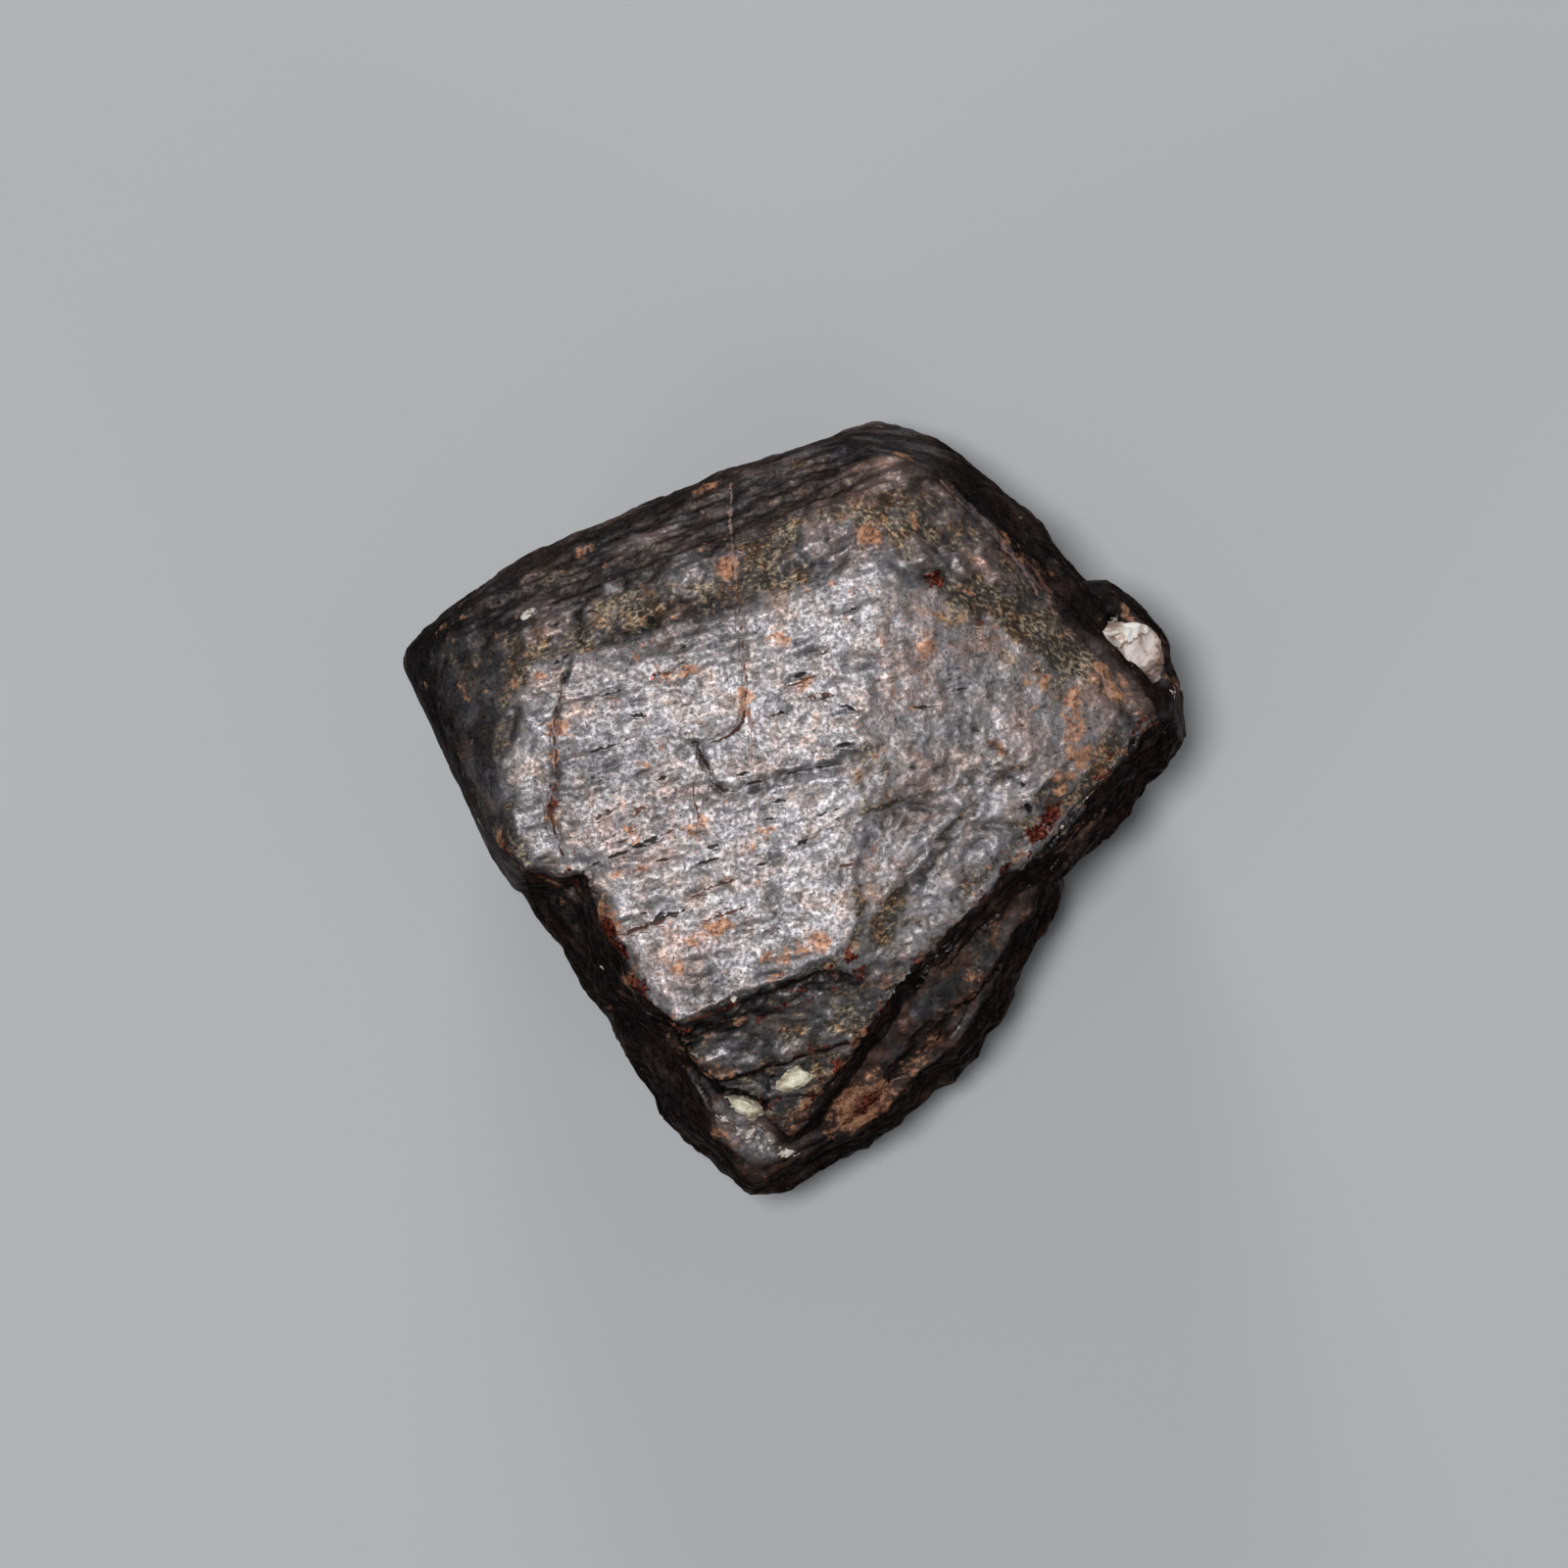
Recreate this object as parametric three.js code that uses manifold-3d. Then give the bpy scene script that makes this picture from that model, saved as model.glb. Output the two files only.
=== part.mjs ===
// A loose rutile crystal: a worn geniculate twin, two stubby prisms grown together at an
// obtuse knee, lying on its flat back face. Three pale mineral grains are stuck to it.
//
// Millimetres, +Z up. The broad front faces look up, the knee points along +Y, and the
// origin is the middle of the crystal's footprint on the surface it lies on.
//
// The crystal is made the way a crystallographer describes one. Every face is a plane with
// an azimuth (the way it looks in plan, degrees from +X towards +Y), a tilt from straight up
// (0 looks up, 90 is a vertical side, over 90 looks down) and the plan distance "reach"
// from the twin's heart at which the plane passes through a height "level".

import * as THREE from "three";
import { ConvexGeometry } from "three/addons/geometries/ConvexGeometry.js";
import { mergeVertices } from "three/addons/utils/BufferGeometryUtils.js";
import Module from "manifold-3d";

const wasm = await Module();
wasm.setup();

// ---- driving dimensions ----------------------------------------------------------------

const THICKNESS = 10.2; // rest face to the ridge between the two front faces
const RIDGE = [1.68, 1.62]; // a plan point on that ridge
const GIRDLE = 4.4; // height of the widest outline
const GROWTH_WEAR = 0.5; // rounding of the naturally worn edges
const LOBE_WEAR = 0.35; // the same on the lower lobe
const SEAT_GAP = 0.1; // play between a grain and its socket
const MERGE = 1e-4; // vertices nearer than this are one

// ---- small vector helpers --------------------------------------------------------------

const radians = THREE.MathUtils.degToRad;

function facing(azimuth, tilt) {
  const a = radians(azimuth);
  const t = radians(tilt);
  return new THREE.Vector3(
    Math.sin(t) * Math.cos(a),
    Math.sin(t) * Math.sin(a),
    Math.cos(t),
  );
}

// A crystal face: its plane, a point on it, and two directions that lie in it.
function face(azimuth, tilt, reach, level) {
  const normal = facing(azimuth, tilt);
  const out = facing(azimuth, 90);
  const point = out.clone().multiplyScalar(reach).setZ(level);
  const across = facing(azimuth + 90, 90); // level, to the left for someone looking out
  const downhill = across.clone().cross(normal).negate();
  return { normal, point, across, downhill, distance: normal.dot(point) };
}

// The height of a face's plane over a plan point.
function heightOn(f, x, y) {
  return (f.distance - f.normal.x * x - f.normal.y * y) / f.normal.z;
}

const over = (f, [x, y]) => new THREE.Vector3(x, y, heightOn(f, x, y));

// A point on a steep face: so far across it, at a height.
function onSide(f, across, height) {
  const drop = (f.point.z - height) / -f.downhill.z;
  return f.point
    .clone()
    .addScaledVector(f.across, across)
    .addScaledVector(f.downhill, drop);
}

// ---- solids ----------------------------------------------------------------------------

function solidFrom(geometry) {
  const bare = geometry.clone();
  bare.deleteAttribute("normal");
  bare.deleteAttribute("uv");
  const merged = mergeVertices(bare, MERGE);
  return new wasm.Manifold(
    new wasm.Mesh({
      numProp: 3,
      vertProperties: new Float32Array(merged.attributes.position.array),
      triVerts: new Uint32Array(merged.index.array),
    }),
  );
}

function geometryFrom(solid) {
  const mesh = solid.getMesh();
  const geometry = new THREE.BufferGeometry();
  geometry.setAttribute(
    "position",
    new THREE.BufferAttribute(mesh.vertProperties, 3),
  );
  geometry.setIndex(new THREE.BufferAttribute(mesh.triVerts, 1));
  geometry.computeVertexNormals();
  return geometry;
}

const hull = (points) => solidFrom(new ConvexGeometry(points));

// The biggest body, solid right through: no loose chips and no sealed hollows.
const outerBody = (solid) =>
  solid.decompose().reduce((a, b) => (a.volume() > b.volume() ? a : b));

// The corners of the space behind every face, each with the faces that meet there.
function cornersOf(faces) {
  const corners = [];
  const m = new THREE.Matrix3();
  for (let i = 0; i < faces.length; i++)
    for (let j = i + 1; j < faces.length; j++)
      for (let k = j + 1; k < faces.length; k++) {
        const [a, b, c] = [faces[i], faces[j], faces[k]];
        m.set(...a.normal, ...b.normal, ...c.normal);
        if (Math.abs(m.determinant()) < 1e-6) continue;
        const p = new THREE.Vector3(a.distance, b.distance, c.distance);
        p.applyMatrix3(m.invert());
        if (faces.some((f) => f.normal.dot(p) > f.distance + 1e-6)) continue;
        corners.push({ p, meeting: [a, b, c] });
      }
  return corners;
}

// A convex block bounded by faces, its edges and corners worn round by so much.
function block(faces, wear = 0) {
  const inset = faces.map((f) => ({ ...f, distance: f.distance - wear }));
  const points = [];
  for (const { p, meeting } of cornersOf(inset)) {
    if (wear === 0) {
      points.push(p);
      continue;
    }
    const [a, b, c] = meeting.map((f) => f.normal);
    const between = [
      a.clone().add(b),
      b.clone().add(c),
      c.clone().add(a),
      a.clone().add(b).add(c),
    ];
    for (const n of [a, b, c, ...between])
      points.push(p.clone().addScaledVector(n.clone().normalize(), wear));
  }
  return hull(points);
}

// ---- the growth faces ------------------------------------------------------------------

const [ridgeX, ridgeY] = RIDGE;
const ridgeReach = (azimuth) =>
  ridgeX * Math.cos(radians(azimuth)) + ridgeY * Math.sin(radians(azimuth));

const LEFT_FRONT = face(165, 3, ridgeReach(165), THICKNESS);
const RIGHT_FRONT = face(0, 9, ridgeReach(0), THICKNESS);
const UPPER_SHOULDER = face(112, 24, 4.9, THICKNESS - 0.25);
const UPPER_SLOPE = face(112, 56, 6.3, THICKNESS - 0.9);
const RIGHT_SHOULDER = face(43, 27, 6.2, THICKNESS - 0.42);
const RIGHT_SLOPE = face(42, 74, 7.75, THICKNESS - 1.2);
const END_SLOPE = face(190, 62, 6.55, THICKNESS - 0.42);
const END_SIDE = face(205, 86, 6.85, GIRDLE + 1);
const CORNER_SLOPE = face(165, 42, 7.6, THICKNESS - 1.1);
const UPPER_SIDE = face(113, 86, 8.0, 6);
const CORNER_SIDE = face(127, 86, 8.62, 6);
const KNEE_SIDE = face(107, 86, 8.12, 6);
const RIGHT_SIDE = face(43, 87, 8.5, 6);
const BACK = face(0, 180, 0, 0);

const GROWTH = [
  LEFT_FRONT,
  RIGHT_FRONT,
  UPPER_SHOULDER,
  UPPER_SLOPE,
  RIGHT_SHOULDER,
  RIGHT_SLOPE,
  END_SLOPE,
  END_SIDE,
  CORNER_SLOPE,
  UPPER_SIDE,
  CORNER_SIDE,
  KNEE_SIDE,
  RIGHT_SIDE,
  face(77, 78, 8.95, 6.5), // the blunted knee
  face(160, 82, 9.85, 6), // the blunted left corner
  face(183, 84, 9.04, 6),
  face(5, 84, 9.25, 5.5), // the blunted right corner
  face(335, 82, 7.55, 6),
  face(113, 114, 8.0, GIRDLE - 0.6), // undersides, from the girdle in to the back
  face(43, 108, 8.5, GIRDLE - 0.4),
  face(205, 110, 6.85, GIRDLE - 0.2),
  face(160, 118, 9.85, GIRDLE - 0.2),
  BACK,
];

// ---- the broken faces: fresh, sharp, and never rounded ---------------------------------

const RIGHT_BREAK = face(320, 74, 4.8, 9.4);
const RIGHT_BREAK_LOWER = face(318.4, 73, 4.45, 9.3);
const RIGHT_BREAK_STEP = face(275, 80, 1.76, 9);
const RIGHT_BREAK_FEET = [
  face(322, 92, 6.15, GIRDLE + 1),
  face(322, 106, 6.05, GIRDLE - 0.6),
];
const RIGHT_BREAK_CHIP = face(309, 94, 5.05, GIRDLE + 1); // only near the right corner
const RIGHT_BREAK_CHIP_END = face(30, 89, 3, 5);
const LEFT_BREAK = face(203, 77, 4.85, 10);
const LEFT_BREAK_LOWER = face(222, 78, 5.35, 9.7);
const LEFT_BREAK_FOOT = face(209, 91, 6.1, GIRDLE + 1);
const TIP_BREAK = face(242, 72, 6.69, 7.7);
const TIP_FOOT = face(240, 92, 7.0, 5.5);
const TIP_CHIP = face(297, 92, 6.7, 6);
const BLOCK_BREAK = face(226, 84, 5.6, 5.5);
const BLOCK_FOOT = face(266, 80, 1.6, 9.8);
const BLOCK_ROOT = face(350, 89, -3.4, 5); // inside the twin

// ---- the lower lobe, a second growth that shows below the breaks -----------------------

const LOBE = [
  face(268, 34, 7.3, 7.45), // shoulders, up under the front
  face(325, 44, 5.75, 6.7),
  face(300, 42, 6.0, 7.1),
  face(213, 74, 5.5, 7.2),
  face(236, 56, 6.9, 7.4),
  face(0, 0, 0, 7.9),
  face(211, 88, 6.3, 4), // sides
  face(226, 84, 7.2, 4),
  face(268, 80, 9.0, 4.2),
  face(299, 78, 7.6, 3.8),
  face(312, 78, 7.05, 3.8),
  face(333, 80, 6.45, 3.8),
  face(15, 88, 5.7, 4),
  face(112, 88, 1, 4), // this one is inside the twin
  face(211, 102, 6.3, 2.8), // undersides
  face(268, 120, 9.0, 3.4),
  face(305, 114, 7.3, 2.8),
  face(333, 108, 6.45, 2.8),
  BACK,
];

// ---- breaks, ledges, cracks, grooves and pits ------------------------------------------

const FAR = 30; // beyond everything
const GROOVE_TAPER = 0.2; // size of a groove's ends, as a share of its middle
const PRISM_AXIS = 17; // plan direction of the left prism's striations, degrees
const STRIATION_ROWS = 17;
const STRIATION_PITCH = 0.46;
const FIRST_STRIATION = 4.5; // across the prism from the heart of the twin
const STRIATION_START = [-5, -3.6]; // along the prism, from the heart
const STRIATION_END = 1.5;
const PITS = 18;
const PIT_DEPTH = 0.11;
const PIT_SIDES = 7;
const PIT_FLOOR = 0.25; // size of a pit's floor, as a share of its mouth

// Everything in front of a plane, as a slab to cut away.
function beyond(f) {
  const foot = f.normal.clone().multiplyScalar(f.distance);
  const points = [];
  for (const a of [-FAR, FAR])
    for (const b of [-FAR, FAR])
      for (const depth of [0, FAR])
        points.push(
          foot
            .clone()
            .addScaledVector(f.across, a)
            .addScaledVector(f.downhill, b)
            .addScaledVector(f.normal, depth),
        );
  return hull(points);
}

const breakAlong = (solid, ...faces) =>
  faces.reduce((left, f) => left.subtract(beyond(f)), solid);

// A ledge: what lies above a floor and beyond a riser is gone.
const ledge = (floor, riser) => beyond(floor).intersect(beyond(riser));

// A V-shaped cut that follows stations on a face, tapered out at both ends. The lean is
// the share of its width on the left of its bottom: far from a half, it makes a step.
function groove(normal, stations, width, depth, lean = 0.5) {
  const cuts = [];
  const last = stations.length - 1;
  const along = stations[last].clone().sub(stations[0]);
  const left = normal.clone().cross(along).normalize();
  const ringAt = (i) => {
    const share = i === 0 || i === last ? GROOVE_TAPER : 1;
    const lift = depth * share; // the cut is carried on as far above the surface
    const wide = 2 * width * share;
    const lifted = stations[i].clone().addScaledVector(normal, lift);
    return [
      stations[i].clone().addScaledVector(normal, -lift),
      lifted.clone().addScaledVector(left, wide * lean),
      lifted.clone().addScaledVector(left, wide * (lean - 1)),
    ];
  };
  for (let i = 0; i < last; i++)
    cuts.push(hull([...ringAt(i), ...ringAt(i + 1)]));
  return wasm.Manifold.union(cuts);
}

// A small dish in the left front, irregular, and longer along the prism than across it.
function pit(at, length, random) {
  const along = facing(PRISM_AXIS, 90);
  const across = facing(PRISM_AXIS + 90, 90);
  const depth = PIT_DEPTH * pick(random, 0.7, 1.3);
  const points = [];
  for (let i = 0; i < PIT_SIDES; i++) {
    const angle = ((i + 0.5 * random()) / PIT_SIDES) * 2 * Math.PI;
    const reach = length * pick(random, 0.8, 1.15);
    const rim = at
      .clone()
      .addScaledVector(along, reach * Math.cos(angle))
      .addScaledVector(across, 0.5 * reach * Math.sin(angle));
    points.push(rim.clone().setZ(at.z + 0.4 * depth));
    points.push(rim.lerp(at, 1 - PIT_FLOOR).setZ(at.z - depth));
  }
  return hull(points);
}

// Repeatable random numbers from 0 to 1.
function randomFrom(seed) {
  let state = seed;
  return () => {
    state = (state * 1664525 + 1013904223) % 4294967296;
    return state / 4294967296;
  };
}

const pick = (random, low, high) => low + (high - low) * random();

// ---- the front of the left prism -------------------------------------------------------

// Striations: low steps and furrows of uneven length that run with the prism axis.
function frontStriations() {
  const random = randomFrom(41);
  const along = facing(PRISM_AXIS, 90);
  const across = facing(PRISM_AXIS + 90, 90);
  const cuts = [];
  for (let row = 0; row < STRIATION_ROWS; row++) {
    const offset = FIRST_STRIATION - row * STRIATION_PITCH;
    let start = pick(random, ...STRIATION_START);
    while (start < STRIATION_END - 0.9) {
      const end = Math.min(start + pick(random, 1.3, 3.4), STRIATION_END);
      const drift = pick(random, -0.1, 0.1);
      const stations = [0, 0.2, 0.8, 1].map((t) => {
        const at = along.clone().multiplyScalar(start + t * (end - start));
        at.addScaledVector(across, offset + drift + pick(random, -0.04, 0.04));
        return over(LEFT_FRONT, [at.x, at.y]);
      });
      const width = pick(random, 0.2, 0.42);
      const depth = pick(random, 0.05, 0.11);
      const lean = random() < 0.7 ? 0.85 : 0.25;
      cuts.push(groove(LEFT_FRONT.normal, stations, width, depth, lean));
      start = end + pick(random, 0.3, 1.6);
    }
  }
  return cuts;
}

// Pits, longer along the prism than across it.
function frontPits() {
  const random = randomFrom(7);
  const cuts = [];
  for (let i = 0; i < PITS; i++) {
    const x = pick(random, -4.7, 1.3);
    const y = pick(random, -3.2, 3.6);
    cuts.push(pit(over(LEFT_FRONT, [x, y]), pick(random, 0.25, 0.6), random));
  }
  return cuts;
}

// Cracks, as plan points on the face that they cross.
const KNEE_CRACK = [
  [-1.45, 6.6],
  [-1.3, 5.2],
  [-1.1, 3.9],
  [-1.05, 3.1],
  [-1.65, 2.0],
];
const BLOCK_CRACK = [
  [-5.3, 3.2],
  [-5.5, 2.1],
  [-5.45, 0.9],
  [-5.62, 0.1],
  [-5.35, -0.9],
  [-4.95, -1.7],
];
const STEP_CRACK = [
  [-2.45, 1.8],
  [-1.95, 0.85],
  [-1.4, 0.62],
  [0.3, 1.05],
  [1.5, 1.6],
];

function cracks() {
  const onFront = (p) =>
    over(heightOn(UPPER_SHOULDER, ...p) < heightOn(LEFT_FRONT, ...p)
      ? UPPER_SHOULDER
      : LEFT_FRONT, p);
  const cut = (points, width, depth) =>
    groove(LEFT_FRONT.normal, points.map(onFront), width, depth);
  return [
    cut(KNEE_CRACK, 0.12, 0.12),
    cut(BLOCK_CRACK, 0.2, 0.2),
    cut(STEP_CRACK, 0.28, 0.16),
  ];
}

// ---- the stepped foot of the front -----------------------------------------------------

// Under the main step the foot falls to the tip in one uneven floor. Each step below it
// has a kinked riser: two planes that cross in the middle of the ledge.
const FOOT_FALL = 20; // tilt of the floor
const LEDGE_KINK = 16; // degrees between the two halves of a riser
const FOOT_STEPS = [
  { azimuth: 290, riser: 3.5, top: 10.08, rise: 48, drop: 0 },
  { azimuth: 286, riser: 5.3, top: 9.1, rise: 66, drop: 0.16 },
  { azimuth: 279, riser: 6.35, top: 8.6, rise: 66, drop: 0.34 },
];

function footLedges() {
  return FOOT_STEPS.flatMap(({ azimuth, riser, top, rise, drop }) => {
    const floor = face(284, FOOT_FALL, 4.15, 9.42 - drop);
    return [
      ledge(floor, face(azimuth, rise, riser, top)),
      ledge(floor, face(azimuth + LEDGE_KINK, rise, riser - 0.1, top)),
    ];
  });
}

// ---- the hackly hollow in the lower half of the right front ----------------------------

// Shallow steps that go down towards the right-hand break, from a slope that leads down
// from the left front. The crest of a step is kinked.
const HOLLOW_SIDE = face(4, 28, 1.15, THICKNESS - 0.06);
const HOLLOW_STEPS = [
  // floor, two risers
  [face(345, 10, 3.9, 9.64), face(282, 46, 0.1, 9.8), face(300, 40, 1.25, 9.75)],
  [face(322, 11, 3.3, 9.5), face(307, 46, 2.1, 9.65), face(325, 40, 3.2, 9.6)],
  [face(318, 16, 4.0, 9.22), face(314, 48, 3.4, 9.45), face(332, 42, 4.6, 9.4)],
  [face(335, 16, 6.1, 9.2), face(338, 50, 6.0, 9.35), face(352, 40, 7.2, 9.3)],
];

function rightHollow() {
  return HOLLOW_STEPS.map(([floor, ...risers]) =>
    risers
      .map((riser) => ledge(floor, riser))
      .reduce((a, b) => a.intersect(b))
      .intersect(beyond(HOLLOW_SIDE)),
  );
}

// ---- striations and furrows on the shoulders, sides and broken faces -------------------

function furrows(random, f, low, high, from, to, count, width, depth) {
  const cuts = [];
  for (let i = 0; i < count; i++) {
    const share = (i + 0.5) / count;
    const height = low + (high - low) * share + pick(random, -0.1, 0.1);
    const start = pick(random, from, from + 0.35 * (to - from));
    const end = pick(random, to - 0.35 * (to - from), to);
    const stations = [0, 0.5, 1].map((t) =>
      onSide(f, start + (end - start) * t, height + pick(random, -0.08, 0.08)),
    );
    cuts.push(groove(f.normal, stations, width, depth));
  }
  return cuts;
}

function sideFurrows() {
  const rows = [
    // face, lowest and highest row, start and end across the face, rows, width, depth
    [UPPER_SHOULDER, 9.35, 9.9, -2.4, 5.6, 3, 0.3, 0.12],
    [UPPER_SLOPE, 7.5, 9.0, -2, 6.6, 5, 0.34, 0.14],
    [UPPER_SIDE, 4.3, 6.8, 0.6, 6.4, 5, 0.5, 0.16],
    [KNEE_SIDE, 4.3, 6.8, -1.6, 0.8, 4, 0.5, 0.16],
    [RIGHT_SLOPE, 7.2, 8.7, -3, 2.4, 3, 0.34, 0.12],
    [RIGHT_SIDE, 4.5, 6.8, -3.4, 3, 4, 0.5, 0.16],
    [END_SIDE, 4.6, 6.8, -4, 1, 4, 0.5, 0.16],
    [RIGHT_BREAK, 6.2, 8.8, 2.2, 5.4, 4, 0.55, 0.2],
    [RIGHT_BREAK_LOWER, 7.6, 8.8, -2, 1.2, 3, 0.5, 0.16],
    [LEFT_BREAK, 6, 9.2, -1.5, 0.8, 4, 0.5, 0.16],
  ];
  const random = randomFrom(3);
  return rows.flatMap((row) => furrows(random, ...row));
}

// The shallow re-entrant where the twin's two halves meet at the upper side.
function kneeDip() {
  const stations = [9.6, 8, 5, 2.4].map((height) =>
    onSide(KNEE_SIDE, -2.3, height),
  );
  return groove(KNEE_SIDE.normal, stations, 2.2, 0.26);
}

// ---- the grains ------------------------------------------------------------------------

const GRAIN_RINGS = 4;
const GRAIN_SIDES = 6;

// An angular lump: a few facets round a centre, longer along one plan direction.
function grainAt(at, turn, [long, wide, high], seed, extra = 0) {
  const random = randomFrom(seed);
  const along = facing(turn, 90);
  const across = facing(turn + 90, 90);
  const points = [];
  for (let ring = 0; ring < GRAIN_RINGS; ring++) {
    const latitude = -60 + (120 * ring) / (GRAIN_RINGS - 1);
    for (let i = 0; i < GRAIN_SIDES; i++) {
      const longitude = (360 / GRAIN_SIDES) * (i + 0.5 * (ring % 2));
      const d = facing(longitude, 90 - latitude);
      const bulge = pick(random, 0.82, 1.08);
      points.push(
        new THREE.Vector3(...at)
          .addScaledVector(along, d.x * (bulge * long + extra))
          .addScaledVector(across, d.y * (bulge * wide + extra))
          .add(new THREE.Vector3(0, 0, d.z * (bulge * high + extra))),
      );
    }
  }
  return hull(points);
}

const GRAINS = {
  quartz_grain: [[7.92, 3.82, 7.1], -58, [1.12, 0.5, 1.2], 4],
  feldspar_grain_upper: [[-0.03, -6.08, 8.6], 22, [0.6, 0.24, 0.3], 11],
  feldspar_grain_lower: [[-1.1, -6.75, 8.3], -27, [0.6, 0.22, 0.4], 18],
};

// Rutile that has grown out round the quartz at the right corner.
const CRUST = [[7.42, 4.0, 5.6], -52, [2.0, 1.33, 1.95], 23];

// ---- the whole crystal -----------------------------------------------------------------

function crystalSolid() {
  const growth = block(GROWTH, GROWTH_WEAR);
  const leftBlock = breakAlong(
    growth,
    BLOCK_BREAK,
    BLOCK_FOOT,
    BLOCK_ROOT,
  );
  const mainTwin = breakAlong(
    growth,
    LEFT_BREAK,
    LEFT_BREAK_LOWER,
    LEFT_BREAK_FOOT,
    TIP_BREAK,
    TIP_FOOT,
    TIP_CHIP,
    RIGHT_BREAK,
    ...RIGHT_BREAK_FEET,
  );
  const cuts = [
    ledge(RIGHT_BREAK_LOWER, RIGHT_BREAK_STEP),
    ledge(RIGHT_BREAK_CHIP, RIGHT_BREAK_CHIP_END),
    ...footLedges(),
    ...rightHollow(),
    ...frontStriations(),
    ...frontPits(),
    ...cracks(),
    ...sideFurrows(),
    kneeDip(),
  ];
  const sockets = Object.values(GRAINS).map((g) => grainAt(...g, SEAT_GAP));
  return outerBody(
    wasm.Manifold.union([mainTwin, leftBlock])
      .subtract(wasm.Manifold.union(cuts))
      .add(block(LOBE, LOBE_WEAR))
      .add(grainAt(...CRUST))
      .subtract(wasm.Manifold.union(sockets)),
  );
}

// ---- materials and the scene graph -----------------------------------------------------

const rutile = new THREE.MeshStandardMaterial({
  color: 0x3b3431,
  roughness: 0.42,
  metalness: 0.35,
});
const quartz = new THREE.MeshStandardMaterial({
  color: 0xd9d3cb,
  roughness: 0.3,
  metalness: 0,
});
const feldspar = new THREE.MeshStandardMaterial({
  color: 0xcfcab0,
  roughness: 0.55,
  metalness: 0,
});

function piece(name, solid, material) {
  const mesh = new THREE.Mesh(geometryFrom(solid), material);
  mesh.name = name;
  return mesh;
}

const specimen = new THREE.Group();
specimen.name = "rutile_specimen";
specimen.add(piece("rutile_crystal", crystalSolid(), rutile));
for (const [name, grain] of Object.entries(GRAINS))
  specimen.add(
    piece(name, grainAt(...grain), name.startsWith("quartz") ? quartz : feldspar),
  );

// The origin is the middle of the footprint, on the rest face.
const box = new THREE.Box3().setFromObject(specimen);
const middle = box.getCenter(new THREE.Vector3());
specimen.position.set(-middle.x, -middle.y, -box.min.z);

export default specimen;
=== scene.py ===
# %% [markdown]
# # A knee twin of rutile
# A dark, heavy crystal about as wide as a thumbnail. Two stubby prisms grew together at an
# obtuse knee. Its growth faces are worn and striated and shine like brushed metal. Its two
# lower sides are breaks, and three pale grains of other minerals are stuck to it.
#
# The fixed frame already holds the flat-faced solids. This lesson gives them their skin.
# It works in millimetres and goes back to metres at the end, because the remesher doesn't
# take cells under a tenth of a millimetre in a scene that is measured in metres.

import math
import random

import bmesh
import bpy
import numpy as np
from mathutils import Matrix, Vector, noise
from mathutils.bvhtree import BVHTree


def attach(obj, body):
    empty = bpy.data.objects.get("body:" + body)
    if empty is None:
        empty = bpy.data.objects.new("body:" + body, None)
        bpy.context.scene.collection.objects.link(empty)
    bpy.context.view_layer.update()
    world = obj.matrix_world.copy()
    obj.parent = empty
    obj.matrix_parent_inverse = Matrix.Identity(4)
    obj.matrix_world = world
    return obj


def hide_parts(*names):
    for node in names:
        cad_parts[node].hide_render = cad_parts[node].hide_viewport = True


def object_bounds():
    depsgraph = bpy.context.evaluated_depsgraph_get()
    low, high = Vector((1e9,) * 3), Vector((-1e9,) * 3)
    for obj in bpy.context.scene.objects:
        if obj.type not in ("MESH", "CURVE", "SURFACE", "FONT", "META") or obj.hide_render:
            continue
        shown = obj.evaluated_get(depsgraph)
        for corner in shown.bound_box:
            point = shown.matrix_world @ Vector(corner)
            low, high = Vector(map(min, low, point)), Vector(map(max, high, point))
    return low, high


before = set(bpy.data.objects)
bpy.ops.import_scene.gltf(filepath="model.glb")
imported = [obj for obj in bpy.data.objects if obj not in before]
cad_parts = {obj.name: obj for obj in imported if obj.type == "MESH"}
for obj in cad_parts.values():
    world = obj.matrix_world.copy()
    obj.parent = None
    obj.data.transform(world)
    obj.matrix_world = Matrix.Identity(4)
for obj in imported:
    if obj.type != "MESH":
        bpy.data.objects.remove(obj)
solids_low, solids_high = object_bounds()
MM = 0.001  # metres in a millimetre
THICK = solids_high.z / MM  # rest face to the highest ridge
print("solids, mm:", [round(side / MM, 2) for side in solids_high - solids_low])

# %% [markdown]
# ## Camera and light
# The crystal is seen from straight above through a long lens, so its sides hardly show.
# One soft box hangs beside the line of sight: the left front face throws its light
# straight back, and the right one, which leans away, stays duller. A second box lights
# the slopes at the back. Two weak fills low in front and an even sky keep the broken
# sides from going black.

# %% Camera
LENS = 200  # mm
SENSOR = 36  # mm, and the picture is as wide as that at the front faces
FRONT_HEIGHT = 10.2  # mm above the floor
LOOK_AT = (-0.25, 0.59)  # mm from the origin, the middle of the picture

camera_data = bpy.data.cameras.new("camera")
camera_data.lens = LENS
camera_data.sensor_width = SENSOR
camera_data.clip_start = 0.01  # metres
camera = bpy.data.objects.new("camera", camera_data)
camera.location = (LOOK_AT[0] * MM, LOOK_AT[1] * MM, (FRONT_HEIGHT + LENS) * MM)
bpy.context.collection.objects.link(camera)
bpy.context.scene.camera = camera
print("camera, mm above the floor:", round(camera.location.z / MM, 1))

# %% Lights
AIM = (0, 0, 8)  # mm, where every box is turned to
SKY = 0.16  # how strong the even light is


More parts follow.
